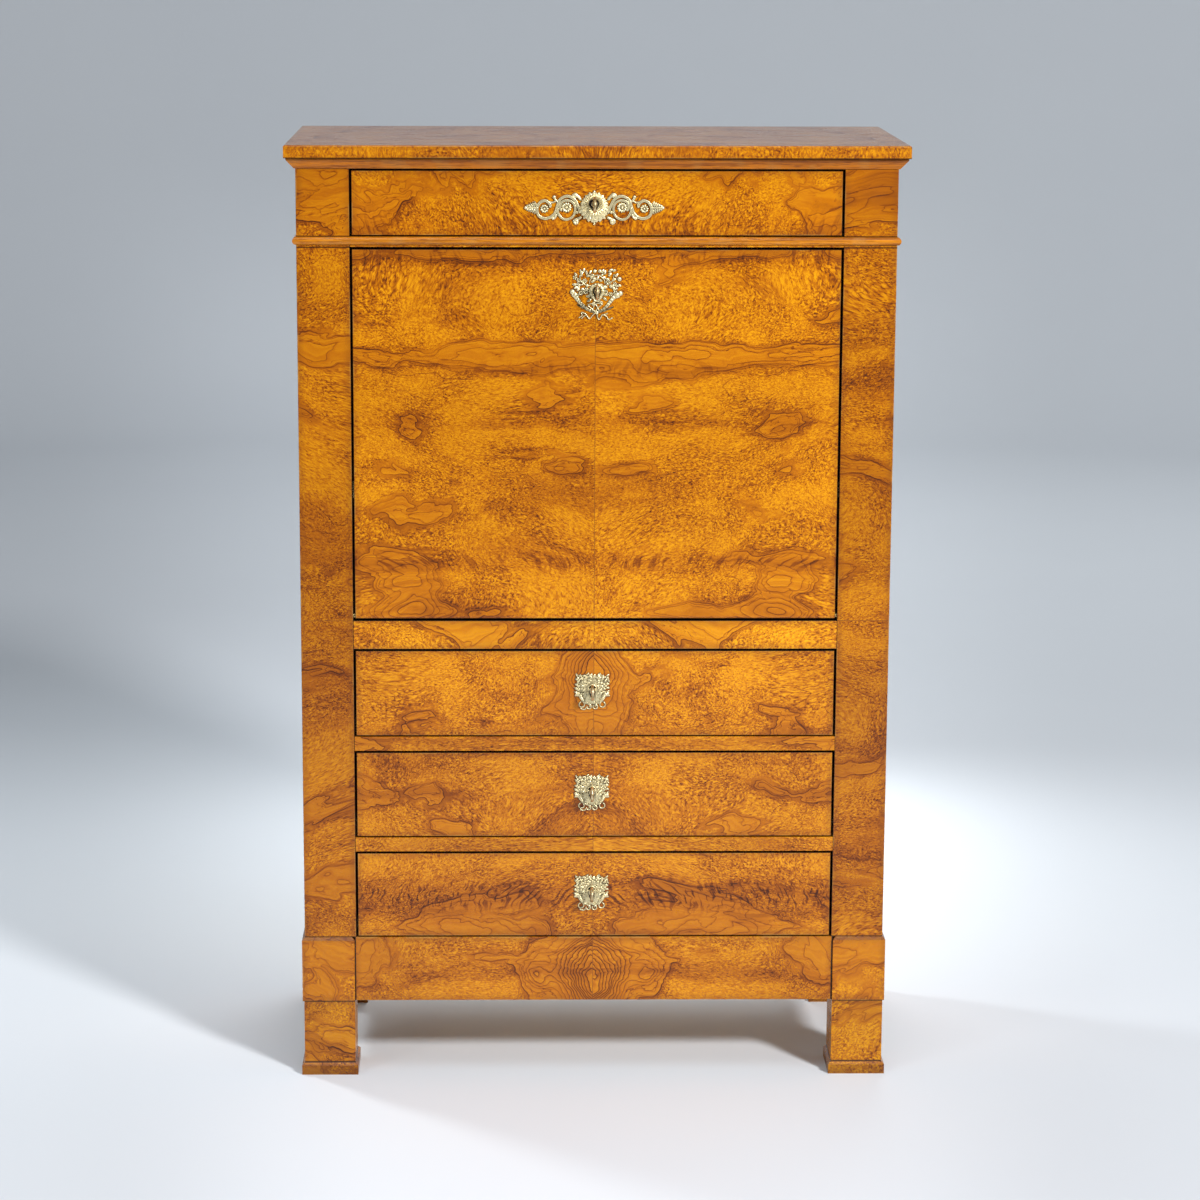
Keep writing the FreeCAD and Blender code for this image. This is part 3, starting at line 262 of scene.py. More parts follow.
def burr_ash(name, box, seam=None, fold=0, plane=(0, 2), stretch=(0.8, 1.0, 1.0), move=(0, 0, 0),
             tint=(1, 1, 1), burl=0.04, bands=(), smears=(), dirt_and_shade=(), hearts=(), worn=(0, 2), painted_gap_shade=False,
             keyhole=None, core=None, slab=False, polish=0.06):
    """Burr ash veneer. The place is folded over at the seam, as two leaves of one flitch are opened like
    a book, then bent by cloudy noise. A slow height over the leaf parts it into burl, full of small dark
    curls, and clear wood; the parting is a thin dark line, shaded on the burl's side, with a fainter line
    beside it. Lines keep their width because the height's distance from the parting is divided by its
    slope, taken between near places in the plane of the face. Bands are levels of clear wood, smears are
    smoky levels, darkened levels are dirt along a joint in some places and painted shade in the rest, and
    hearts are hollows in the height, so that lines run round them. Edges are worn pale, those of a lying
    slab too. The front of a gap's sides is painted black as painted shade in the gap, and the wood round
    the keyhole as painted shade in the hole. A core is the plain pine that shows more than a given depth
    behind the veneer."""
    made, tree, shader, place = tree_of(name)
    parts = step(tree, "SeparateXYZ", place).node.outputs

    def away_from(axis, middle):
        """How far the place is from a level on one axis."""
        return apart(tree, parts[axis], middle)

    def inside(axis):
        """How far the place is within the nearer end of the box on one axis."""
        low, high = box[0][axis], box[1][axis]
        return reckon(tree, "SUBTRACT", (high - low) / 2, away_from(axis, (low + high) / 2))

    folded = list(parts)
    if seam is not None:
        side = ease(tree, reckon(tree, "SUBTRACT", parts[fold], seam), -0.0004, 0.0004)
        folded[fold] = away_from(fold, seam)
        depth = 0 if fold == 1 else 1
        leaf_shift = 0.016
        folded[depth] = times(tree, side, leaf_shift, folded[depth])
    flat = step(tree, "CombineXYZ", *folded)

    def bent(start, cloud, reach):
        """The place moved by up to half the reach each way."""
        about = step(tree, "VectorMath", cloud, (0.5, 0.5, 0.5), operation="SUBTRACT")
        return step(tree, "VectorMath", about, (reach,) * 3, start, operation="MULTIPLY_ADD")

    def figure(at):
        """The height of the figure at a folded place, and the cloud and bent places it was read from."""
        leaf = mapped(tree, at, stretch, move)
        cloud = noise(tree, leaf, 4.0, 1.0, colour=True)
        broad = bent(leaf, cloud, 0.22)
        fine = bent(broad, noise(tree, broad, 30.0, 2.6, colour=True), 0.040)
        height = noise(tree, mapped(tree, fine, (0.75, 1, 1.35)), 9.0, 2.4)
        for level, inner, outer, lift in bands:
            far = apart(tree, step(tree, "SeparateXYZ", at, out=2), level)
            height = reckon(tree, "SUBTRACT", height, fade(tree, far, inner, outer, lift))
        moved = step(tree, "VectorMath", fine, leaf, operation="SUBTRACT")
        moved = step(tree, "VectorMath", moved, (0.4, 0.0, 0.4), at, operation="MULTIPLY_ADD")
        for spot, span, gain in hearts:
            off = step(tree, "VectorMath", moved, spot, operation="SUBTRACT")
            off = step(tree, "VectorMath", off, span, operation="DIVIDE")
            ring = step(tree, "VectorMath", off, off, operation="DOT_PRODUCT", out=1)
            hollow = reckon(tree, "EXPONENT", times(tree, ring, -1.0))
            height = times(tree, hollow, -gain, height)
        return height, cloud, broad, fine

    height, cloud, broad, fine = figure(flat)
    tone = step(tree, "SeparateColor", cloud)
    stride, rises = 0.0012, []
    for axis in plane:
        aside = tuple(stride * (k == axis) for k in range(3))
        near = step(tree, "VectorMath", flat, aside, operation="ADD")
        rise = reckon(tree, "SUBTRACT", figure(near)[0], height)
        rises.append(times(tree, rise, rise))
    slope = reckon(tree, "DIVIDE", reckon(tree, "SQRT", reckon(tree, "ADD", *rises)), stride)
    slope = reckon(tree, "MAXIMUM", slope, 0.6)
    parting = reckon(tree, "SUBTRACT", height, 0.46 - burl)
    off = reckon(tree, "DIVIDE", parting, slope)
    patch = ease(tree, noise(tree, fine, 17, 1.0), 0.34, 0.64)
    rim = fade(tree, reckon(tree, "ABSOLUTE", off), 0.0003, 0.0011)
    beside = reckon(tree, "ABSOLUTE", times(tree, tone, 0.008, reckon(tree, "ADD", off, 0.003)))
    rim = reckon(tree, "ADD", rim, fade(tree, beside, 0.0003, 0.0010, 0.7))
    shade = times(tree, ease(tree, off, -0.0006, 0.0004), fade(tree, off, 0.0, 0.016))
    ring_count, thread_count = 13.0, 7.0
    rings = reckon(tree, "FRACT", times(tree, height, ring_count))
    rings = reckon(tree, "DIVIDE", rings, times(tree, slope, ring_count))
    rings = reckon(tree, "ADD", fade(tree, rings, 0.0006, 0.0017), fade(tree, rings, 0.0, 0.006, 0.4))
    burled = ease(tree, parting, 0.0, 0.05)
    threads = reckon(tree, "FRACT", times(tree, height, thread_count, 0.37))
    threads = reckon(tree, "DIVIDE", threads, times(tree, slope, thread_count))
    broken = ease(tree, noise(tree, fine, 11, 1.0), 0.48, 0.60)
    threads = times(tree, fade(tree, threads, 0.0003, 0.0015), broken)

    mild = bent(broad, noise(tree, broad, 60.0, 0.0, colour=True), 0.008)
    curls = fade(tree, apart(tree, noise(tree, mild, 230, 1.0), 0.48), 0.0, 0.09)
    waves = fade(tree, apart(tree, noise(tree, fine, 42, 1.5), 0.5), 0.0, 0.022)
    specks = noise(tree, mild, 330, 1.5, 0.6)
    fibre = noise(tree, mapped(tree, fine, (9, 9, 240)), 1.0, 1.0)
    flecks = ease(tree, noise(tree, mild, 470, 1.0, 0.6), 0.56, 0.68)
    in_burl = times(tree, curls, 0.20, reckon(tree, "SUBTRACT", specks, 0.51))
    in_burl = times(tree, flecks, 0.34, in_burl)
    in_burl = times(tree, in_burl, times(tree, patch, 0.55, 0.62), 0.08)
    in_burl = times(tree, patch, 0.08, times(tree, threads, 0.34, in_burl))
    in_burl = times(tree, times(tree, waves, patch), 0.16, in_burl)
    deep = ease(tree, height, -0.1, 0.25, 0.48, 0.20)
    in_clear = times(tree, fibre, 0.26, times(tree, rings, deep, 0.06))
    dark = between(tree, burled, in_clear, in_burl)
    drawn = times(tree, rim, 0.42, times(tree, shade, 0.22))
    dark = times(tree, drawn, times(tree, patch, 0.8, 0.3), dark)
    smoke = ease(tree, noise(tree, mapped(tree, fine, (0.6, 1, 1.9)), 8.0, 2.0), 0.50, 0.74)
    fur = ease(tree, noise(tree, mapped(tree, mild, (300, 1, 38)), 1.0, 1.0), 0.52, 0.64) if smears else 0.0
    for level, spread, share in smears:
        cover = fade(tree, away_from(2, level), 0.0, spread, share)
        smoke = times(tree, cover, ease(tree, tone, 0.3, 0.65), smoke)
        dark = times(tree, times(tree, cover, cover), times(tree, fur, 0.8), dark)
    dark = times(tree, smoke, times(tree, fibre, 0.22, 0.10), dark)

    gold, brown, umber, black_brown = ((0.78, 0.317, 0.0045, 1), (0.505, 0.151, 0.0018, 1),
                                       (0.25, 0.057, 0.0012, 1), (0.06, 0.012, 0.0012, 1))
    ramp = tree.nodes.new("ShaderNodeValToRGB")
    tree.links.new(dark, ramp.inputs[0])
    stops = ramp.color_ramp.elements
    stops[0].color, stops[1].color = gold, black_brown
    for at, colour in ((0.26, brown), (0.55, umber)):
        stops.new(at).color = colour
    wood = mix(tree, ease(tree, tone, 0.3, 0.7), (0.88, 0.85, 0.80), (1.07, 1.08, 1.05))
    wood = mix(tree, 1.0, ramp.outputs[0], wood, "MULTIPLY")
    wood = mix(tree, 1.0, wood, tint, "MULTIPLY")
    if seam is not None:
        turned_leaf, glue_line = (0.95, 0.93, 0.95), (0.16, 0.05, 0.01)
        wood = mix(tree, side, mix(tree, 1.0, wood, turned_leaf, "MULTIPLY"), wood)
        wood = mix(tree, fade(tree, folded[fold], 0.0002, 0.0009, 0.6), wood, glue_line)

    grime_tone, rubbed_tone = (0.17, 0.045, 0.006), (0.50, 0.24, 0.05)
    edge = inside(worn[0])
    for axis in worn[1:]:
        edge = reckon(tree, "MINIMUM", edge, inside(axis))
    if slab:
        edge = reckon(tree, "MAXIMUM", edge, inside(2))
    dust = noise(tree, place, 24, 2.0)
    rub = times(tree, fade(tree, edge, 0.0010, 0.0026), ease(tree, dust, 0.46, 0.66))
    grime = times(tree, fade(tree, edge, 0.002, 0.014), dust)
    wood = mix(tree, times(tree, grime, 0.6), wood, grime_tone)
    wood = mix(tree, times(tree, rub, 0.55), wood, rubbed_tone)
    # Darkened levels: some are dirt in a joint, the others painted shade, as each caller says.
    for axis, middle, half, share in dirt_and_shade:
        wood = mix(tree, fade(tree, away_from(axis, middle), half * 0.6, half, share), wood, dirt_and_shade_tone)
    if core is not None:
        axis, level, skin = core
        under = apart(tree, reckon(tree, "ABSOLUTE", parts[axis]), level)
        along = (70, 70, 3) if axis == 0 else (3, 120, 120)
        streak = noise(tree, mapped(tree, place, along), 1.0, 3.0)
        plain = mix(tree, ease(tree, streak, 0.35, 0.65), (0.59, 0.385, 0.195), (0.45, 0.26, 0.105))
        wood = mix(tree, ease(tree, under, skin, skin + 0.0004), wood, plain)
    # The front of a gap's sides, and a thin band round the face's edge, are painted black: painted shade in
    # the gap.
    if painted_gap_shade:
        inner_half, gap_shade_black = 0.3845, (0.006, 0.003, 0.002)
        shallow = fade(tree, parts[1], front_face + 0.008, front_face + 0.011)
        behind = times(tree, ease(tree, parts[1], front_face + 0.0003, front_face + 0.0014), shallow)
        if core is not None:
            end = reckon(tree, "LESS_THAN", inside(0), 0.0005)
            lapped = times(tree, end, ease(tree, parts[1], front_face + 0.0055, front_face + 0.0065))
            behind = times(tree, behind, reckon(tree, "SUBTRACT", 1.0, lapped))
            edge = times(tree, lapped, 0.01, edge)
        rind = times(tree, fade(tree, edge, 0.0004, 0.0012, 0.9), shallow)
        behind = reckon(tree, "MAXIMUM", behind, rind)
        behind = times(tree, behind, reckon(tree, "LESS_THAN", away_from(0, 0.0), inner_half))
        wood = mix(tree, behind, wood, gap_shade_black)
    # The wood round the keyhole is painted black: painted shade in the hole, seen through the mount.
    if keyhole is not None:
        keyhole_shade_black = (0.010, 0.006, 0.004)
        near = step(tree, "VectorMath", place, keyhole, operation="SUBTRACT")
        near = step(tree, "VectorMath", near, operation="LENGTH", out=1)
        wood = mix(tree, fade(tree, near, 0.011, 0.013), wood, keyhole_shade_black)
    gloss = times(tree, dust, 0.10, times(tree, dark, 0.12, 0.20))
    feed(tree, shader, Base_Color=wood, Roughness=gloss, Specular_IOR_Level=0.3, Coat_Weight=polish,
         Coat_Roughness=0.14)
    relief(tree, shader, noise(tree, place, 9, 1.0), 0.0011, 0.3)
    return made


foot_top, toe_joint, toe_dark_level = 0.124, 0.0205, 0.008
# The veneer is darkened along the top of each foot as painted shade under the block, along the toe's top
# joint by dirt, and a little over the whole toe.
for number, name in enumerate(("front_feet", "rear_feet")):
    dress(burr_ash(f"ash_{name}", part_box(name), move=(3.1 + number, 0.4, 1.7), tint=(0.83, 0.87, 1.0),
                   burl=0.06, worn=(2,), dirt_and_shade=((2, foot_top, 0.0022, 0.9), (2, toe_joint, 0.0018, 0.85),
                                               (2, toe_dark_level, 0.011, 0.35))), name)


# Plinth
# A deep base: a veneered front board whose two leaves open from the middle like a book, a block at each
# end, and a pine frame behind, veneered at its sides. The front board's ends by the blocks, the blocks'
# top bevels and the blocks' lowest edge over the feet are darkened as painted shade.
middle_seam, block_top = -0.002, 0.2285
apron_low, apron_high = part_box("plinth_front")
apron_middle = (apron_low[2] + apron_high[2]) / 2
# The ends of the front board, beside the blocks, are darkened as painted shade.
dress(burr_ash("ash_plinth_front", (apron_low, apron_high), seam=middle_seam, move=(5.2, 0.1, 0.33),
               tint=(0.9, 0.88, 1.2), burl=0.06,
               hearts=(((0.0, apron_low[1], apron_middle - 0.008), (0.062, 1.0, 0.10), 1.0),
                       ((0.112, apron_low[1], apron_middle - 0.012), (0.026, 1.0, 0.036), 0.42)),
               dirt_and_shade=((0, apron_low[0], 0.0028, 1.0), (0, apron_high[0], 0.0028, 1.0))), "plinth_front")
frame_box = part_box("plinth_frame")
dress(burr_ash("ash_plinth_frame", frame_box, move=(6.1, 0.7, 0.5), plane=(1, 2), stretch=(1, 0.8, 1),
               tint=(0.92, 0.91, 1.1), burl=0.05, worn=(2,), core=(0, frame_box[1][0], 0.006)),
      "plinth_frame")
# The blocks' top bevels and their lowest edge over the feet are darkened as painted shade.
dress(burr_ash("ash_plinth_blocks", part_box("plinth_blocks"), seam=0.0, move=(6.4, 0.2, 0.9),
               tint=(0.92, 0.91, 1.1), burl=0.05,
               dirt_and_shade=((2, block_top, 0.0042, 0.35), (2, foot_top, 0.0012, 0.6))), "plinth_blocks")


# Carcase sides
# Two broad softwood boards, veneered outside with long upright leaves of burr ash opened from near the
# middle of the depth, and glued into the plinth and the top.
for number, name in enumerate(("side_left", "side_right")):
    dress(burr_ash(f"ash_{name}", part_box(name), seam=0.02, fold=1, plane=(1, 2), stretch=(1, 1.0, 0.75),
                   move=(7.3 + number, 0.5, 1.1), worn=(1, 2),
                   core=(0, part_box("side_right")[1][0], 0.002)), name)


# Pilasters
# A flat stile at each side of the front. Its veneer is laid in two lengths that mirror each other at the
# height of the writing rail, clear and flowing there and burled towards the ends.
writing_rail, plinth_joint, under_astragal, over_astragal = 0.751, 0.2305, 1.3415, 1.3585
for number, name in enumerate(("pilaster_left", "pilaster_right")):
    # Each pilaster is darkened by dirt in its joints with the plinth and over the astragal, and under the
    # astragal as painted shade. The front of its sides at the gaps is painted black as painted shade.
    dress(burr_ash(f"ash_{name}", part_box(name), seam=writing_rail, fold=2, stretch=(0.65, 1.0, 1.1),
                   move=(2.3, 0.3, 2.1 - number * 0.01), bands=((writing_rail, 0.06, 0.24, 0.2),),
                   tint=(0.80, 0.75, 0.8), burl=0.06, worn=(0,), painted_gap_shade=True,
                   dirt_and_shade=((2, plinth_joint, 0.002, 0.7), (2, under_astragal, 0.0014, 0.8),
                         (2, over_astragal, 0.0014, 0.8))), name)


# Rails
# Narrow cross rails between the drawers and under the fall, veneered to match, plainer and a little
# paler than the panels.
dress(burr_ash("ash_front_rails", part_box("front_rails"), seam=middle_seam, stretch=(0.45, 1, 1.2),
               move=(9.1, 0.2, 0.4), burl=0.10, tint=(0.95, 0.95, 1.4), worn=(0,)), "front_rails")
dress(burr_ash("ash_fall_rail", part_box("fall_rail"), seam=middle_seam, stretch=(0.5, 1, 1.0),
               move=(4.4, 0.9, 0.2), tint=(1.2, 1.3, 1.6), burl=0.02, worn=(2,), painted_gap_shade=True), "fall_rail")


# Drawer fronts
# Four thick fronts, dovetailed to their sides. Each has two leaves of burr ash opened from the middle,
# the lower three from one flitch, the frieze from the fall's.
upper_heart = ((0.0, front_face, 0.66), (0.045, 1.0, 0.08), 0.6)
lower_heart = ((0.215, front_face, 0.225), (0.085, 1.0, 0.06), 0.45)
key_side, drawer_skin = -0.0045, 0.002
for name, hole, move, tint, hearts, smears in (
        ("frieze_drawer", 1.407, (0.67, 0.9, 0.11), (1.0, 1.0, 0.9), (), ((1.37, 0.05, 0.5),)),
        ("upper_drawer", 0.637, (8.2, 0.3, 1.27), (1.05, 1.06, 1.4), (upper_heart,), ()),
        ("middle_drawer", 0.471, (8.2, 0.3, 1.72), (1.05, 1.06, 1.4), (), ()),
        ("lower_drawer", 0.305, (8.2, 0.3, 2.93), (0.93, 0.91, 1.3), (lower_heart,), ((0.30, 0.05, 0.8),))):
    # The gap sides and the wood round each keyhole are painted black, as painted shade.
    dress(burr_ash(f"ash_{name}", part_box(f"{name}_front"), seam=middle_seam, stretch=(0.7, 1, 1), move=move,
                   tint=tint, burl=0.055, hearts=hearts, smears=smears, painted_gap_shade=True,
                   keyhole=(key_side, front_face, hole), core=(1, -front_face, drawer_skin)), f"{name}_front")


# Fall
# The writing flap: a clamped softwood panel with two great leaves of burr ash opened from the middle.
# It turns down on brass pivots let into its lower corners.
fall_hearts = tuple(((x, front_face, z), (wide, 1.0, high), gain) for x, z, wide, high, gain in (
    (0.31, 0.79, 0.05, 0.05, 0.45), (0.11, 1.19, 0.05, 0.02, 0.12),
    (0.285, 1.05, 0.035, 0.05, 0.16), (0.05, 0.985, 0.045, 0.016, 0.2)))
# The gap sides and the wood round the keyhole are painted black, as painted shade.
dress(burr_ash("ash_fall_panel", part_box("fall_panel"), seam=middle_seam, stretch=(0.62, 1, 1.0),
               move=(0.12, 2.7, 1.34), burl=0.12, hearts=fall_hearts, painted_gap_shade=True,
               bands=((1.177, 0.0, 0.034, 0.20), (0.765, 0.0, 0.03, 0.2), (1.336, 0.0, 0.03, 0.2)),
               smears=((0.845, 0.03, 0.6), (1.15, 0.03, 0.4), (1.325, 0.03, 0.5)),
               keyhole=(0.0, front_face, 1.2715)), "fall_panel")


# Mounts
# Keyhole mounts of pressed and gilded brass sheet, chased in front and flat behind, pinned to the veneer
# round each keyhole. Bright on top of the relief, with brown patina in the hollows and painted shade on the
# steep sides.
def gilt(name, face):
    """Old gilding: pale on the high points, patina brown near the ground at the given depth, and painted
    shade on the steep sides.
    """
    made, tree, shader, place = tree_of(name)
    out = reckon(tree, "SUBTRACT", face, step(tree, "SeparateXYZ", place, out=1))
    cloud = noise(tree, place, 420, 2.0)
    high = ease(tree, times(tree, cloud, 0.0018, out), 0.0011, 0.0032)
    # Sides that do not face the front are darkened towards brown: painted shade on the steep sides.
    looks = step(tree, "SeparateXYZ", tree.nodes.new("ShaderNodeNewGeometry").outputs["Normal"], out=1)
    high = times(tree, high, ease(tree, reckon(tree, "ABSOLUTE", looks), 0.25, 0.8, 0.3, 1.0))
    patina_and_shade_brown, pale_gold = (0.06, 0.034, 0.008), (0.86, 0.74, 0.43)
    feed(tree, shader, Base_Color=mix(tree, high, patina_and_shade_brown, pale_gold), Metallic=0.7,
         Specular_IOR_Level=0.7, Roughness=times(tree, cloud, 0.20, 0.22))
    relief(tree, shader, noise(tree, place, 700, 1.0), 0.0004, 0.4)
    return made


def through(points, count=36):
    """A smooth path through points: on each span a cubic whose slope at a point is half the step between
    that point's two neighbours."""
    known = np.asarray(points, float)
    known = np.vstack([2 * known[0] - known[1], known, 2 * known[-1] - known[-2]])
    at = np.linspace(0, len(known) - 3, count)
    first = np.minimum(at.astype(int), len(known) - 4)
    t = (at - first)[:, None]
    a, b, c, d = (known[first + k] for k in range(4))
    return 0.5 * (2 * b + (c - a) * t + (2 * a - 5 * b + 4 * c - d) * t ** 2
                  + (3 * b - a - 3 * c + d) * t ** 3)


def sided(way, points, count=36):
    """A smooth path through points drawn for the right side, turned over for the left where way is -1."""
    return through([(way * x, z) for x, z in points], count)


def spiral(x, z, first, last, start, end, count=56):
    """A curl about a point: the angle goes evenly from first to last degrees, the radius from start to
    end."""
    angle = np.radians(np.linspace(first, last, count))
    radius = np.linspace(start, end, count)
    return np.stack([x + radius * np.cos(angle), z + radius * np.sin(angle)], 1)


def strap(path, half, rise, crease=0.0, end=0.08, sides=12):
    """A half-round bar carried along a path: across it, a half circle stretched to the half width and the
    rise, with a crease down the middle if asked; it narrows to a point over its ends."""
    path = np.asarray(path, float)
    along = np.gradient(path, axis=0)
    along = along / np.linalg.norm(along, axis=1, keepdims=True)
    across = np.stack([-along[:, 1], along[:, 0]], 1)
    share = np.linspace(0, 1, len(path))
    taper = np.sqrt(np.clip(np.minimum(share, 1 - share) / end, 0, 1))
    turn = np.linspace(0, 2 * math.pi, sides, endpoint=False)
    wide, high = np.cos(turn), np.sin(turn)
    high = np.where(high > 0, high * (1 - crease * np.exp(-(wide / 0.3) ** 2)), 0.0)
    half, rise = np.asarray(half) * taper, np.asarray(rise) * taper
    flat = path[:, None] + across[:, None] * (half[:, None] * wide)[..., None]
    return np.concatenate([flat, (rise[:, None] * high)[..., None]], -1), False


def leaf(x, z, length, degrees, half=2.6, rise=2.6, bend=0.15):
    """A pointed leaf: a creased strap along a slightly bent line, widest at two fifths of its length."""
    share = np.linspace(0, 1, 15)
    angle = math.radians(degrees)
    line = np.stack([length * share, bend * length * np.sin(math.pi * share)], 1)
    turned = line @ np.array([[math.cos(angle), math.sin(angle)], [-math.sin(angle), math.cos(angle)]])
    width = half * np.sin(math.pi * share ** 0.75) ** 0.8 + 0.15
    height = 0.4 * rise + 0.6 * rise * np.sin(math.pi * share)
    return strap(turned + (x, z), width, height, crease=0.45, end=0.02)


def blossom(x, z, radius, rise, petals=5, notch=0.28, dip=0.45, turn=0.0):
    """A flower seen from above: its edge swings in and out once for each petal, its height falls to the edge
    with a hollow ring about a raised bud."""
    share = np.concatenate([np.linspace(0, 1, 11), [0.0]])
    angle = np.linspace(0, 2 * math.pi, 8 * max(petals, 3), endpoint=False)
    lobe = np.abs(np.cos(petals * (angle - turn) / 2))
    edge = radius * (1 - notch * (1 - lobe))
    s = share[:, None]
    height = rise * (np.sqrt(np.clip(1 - s ** 2, 0, 1)) * (1 - notch * (1 - lobe))
                     - dip * np.exp(-((s - 0.38) / 0.16) ** 2))
    height[-1] = 0.0
    return np.stack([x + s * edge * np.cos(angle), z + s * edge * np.sin(angle), height], -1), False


def bead(x, z, radius, rise):
    """A round bead: a flower with no notches and no hollow."""
    return blossom(x, z, radius, rise, 3, 0, 0)


def collar(x, z, hole, edge, height, columns=96):
    """A flat ring with a shaped hole: between the hole's line and the edge's line, both given by the angle,
    the height is a function of the way across and the angle; the back is flat."""
    angle = np.linspace(-math.pi, math.pi, columns, endpoint=False)
    share = np.concatenate([np.linspace(0, 1, 12), [1.0, 0.0]])[:, None]
    out = hole(angle) + share * (edge(angle) - hole(angle))
    up = height(share, angle) * np.ones_like(out)
    behind_face = -0.1
    up[-2:] = behind_face
    return np.stack([x + out * np.cos(angle), z + out * np.sin(angle), up], -1), True


def key_slot(angle, pin, slot, spread):
    """The line of a keyhole: a circle for the pin of the key, drawn out downwards by a bell curve for its
    bit."""
    return pin + slot * np.exp(-((angle + math.pi / 2) / spread) ** 2)


def rough_edge(angle, radii):
    """A closed line by its radius at every 30 degrees from the left side round, even between them."""
    return np.interp(angle, np.radians(np.arange(-180, 181, 30)), radii)


gilding = gilt("old_gilding", front_face)


def fix_mount(name, body, centre, shells):
    """Sets the shells, drawn in millimetres about the mount's centre, on the face of their body."""
    placed = [(np.stack([(centre[0] + grid[..., 0]) / 1000, front_face - grid[..., 2] / 1000,
                         (centre[1] + grid[..., 1]) / 1000], -1), ring) for grid, ring in shells]
    piece = shells_mesh(name, placed)
    piece.data.materials.append(gilding)
    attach(piece, body)
    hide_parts(f"{body}_escutcheon")


# Frieze mount
# A long mount: a domed and fluted cartouche with the keyhole, a large and a small scroll of one strap on
# each side, a rosette in each, curled buds between them, and a feathered tip at each end.
flutes = 26
cartouche = [21, 25, 28, 29, 28, 25, 21, 18.5, 17, 17.5, 17, 18.5, 21]
shells = [collar(0, 6.5, lambda a: key_slot(a, 6.6, 5.0, 0.5) + 1.5 * np.cos(a) ** 2 * (a * a > 2.4),
                 lambda a: rough_edge(a, cartouche) * (1 + 0.035 * np.cos(flutes * a)),
                 lambda s, a: 0.8 + ((1.2 + 3.4 * np.sin(math.pi * s ** 0.75))
                                     * (0.8 + 0.2 * np.cos(flutes * a))), 8 * flutes)]
for x, z, length, degrees in (
        (0, 16, 9, 90), (-5, 16, 9, 108), (5, 16, 9, 72), (-9, 13, 9, 128), (9, 13, 9, 52), (0, -13, 12, 270),
        (-6, -12, 11, 252), (6, -12, 11, 288), (-11, -9, 11, 234), (11, -9, 11, 306), (-14, -2, 10, 200),
        (14, -2, 10, -20), (-13, 6, 9, 170), (13, 6, 9, 10)):
    shells.append(leaf(x, z, length, degrees, 3.0, 4.6, 0.0))
shells += [bead(0, -25, 2.2, 3.0), bead(0, 25, 2.2, 2.8)]
outer = [(21, -10), (25, 2), (31, 13), (42, 18), (53, 13), (57, 3), (61, -8), (68, -14.5), (77, -16.5),
         (86, -12), (88.5, -1), (84, 8), (76, 11), (69, 6), (68, -1)]
inner = [(57, 4), (56, -8), (50, -16), (42, -18), (33, -13), (29.5, -2), (33, 8), (42, 11.5), (50, 9),
         (53, 1), (50, -6)]
for way in (-1, 1):
    shells += [
        strap(sided(way, outer, 110), 2.7, 3.8, crease=0.4, end=0.03, sides=16),
        strap(sided(way, inner, 90), 2.3, 3.4, crease=0.35, end=0.04, sides=16),
        blossom(way * 43, 0.5, 9.0, 3.6, 11, 0.2, 0.6), bead(way * 43, 0.5, 3.0, 4.6),
        blossom(way * 77.3, -1.5, 7.4, 3.0, 9, 0.2, 0.6), bead(way * 77.3, -1.5, 2.4, 3.8),
        strap(sided(way, [(20, 11), (24, 16), (29, 21), (33, 19), (31, 15.5)]), 2.6, 3.0),
        strap(sided(way, [(19, -14), (25, -17), (31, -20), (29, -24), (24, -22)]), 2.7, 3.0),
        bead(way * 29, 18.5, 3.8, 3.6), bead(way * 27, -20.5, 3.8, 3.6),
        bead(way * 26.5, -7, 2.8, 3.4),
        strap(sided(way, [(56, 9), (60, 12), (62, 17)]), 2.2, 2.8), bead(way * 62, 16.5, 3.2, 3.4),
        strap(sided(way, [(59, 11), (65, 8), (70, 9)]), 1.7, 2.4),
        strap(sided(way, [(58, -9), (61, -15), (66, -18)]), 2.3, 2.8), bead(way * 64, -16.5, 3.0, 3.2),
        strap([(way * (86 + k), 0) for k in np.linspace(0, 19, 20)], 1.5, 3.2),
        bead(way * 106, 0, 3.2, 3.4)]
    for k in range(5):
        feather, lean = 12.0 - 1.6 * k, 64
        for up in (-1, 1):
            angle = up * lean if way > 0 else 180 - up * lean
            shells.append(leaf(way * (88 + 3.6 * k), 0, feather, angle, 1.7, 3.0, 0.0))
fix_mount("frieze_drawer_mount", "frieze_drawer", (-4.5, 1403), shells)


# Fall mount
# An open wreath of leaves, berries and flowers over a keyhole plate, held by two crossed horns of plenty
# that a ribbon ties in a bow.
shells = [collar(0, 4, lambda a: key_slot(a, 6.3, 7.0, 0.4),
                 lambda a: key_slot(a, 12.5, 5.5, 0.5) + 0.5 * np.cos(14 * a),
                 lambda s, a: 1.2 + 2.6 * np.sin(math.pi * s))]
for x, z, radius in ((-3.2, 35, 3.4), (4.5, 35, 3.2), (35, 22.7, 4.0), (-4, 22.7, 3.4), (-38, 2.7, 4.6),
                     (36.5, 0.5, 4.6), (-33.5, 9, 2.8), (-15, 12.4, 2.8), (11.5, 10.5, 3.0), (26, 8.5, 2.6)):
    shells.append(bead(x, z, radius, radius * 0.9))
for x, z, radius, petals in (
        (-34, 25, 4.2, 5), (-28, 20.5, 4.4, 6), (-19, 19.5, 4.8, 6), (17.4, 18, 4.8, 6), (-17.4, 3.4, 5.4, 8),
        (13, 2, 5.2, 8), (21, -1, 4.2, 6), (-25, 1, 4.4, 6), (29, 1, 4.6, 6), (28, 15, 4.0, 5),
        (-31, -3, 4.0, 6)):
    shells.append(blossom(x, z, radius, 2.8, petals))
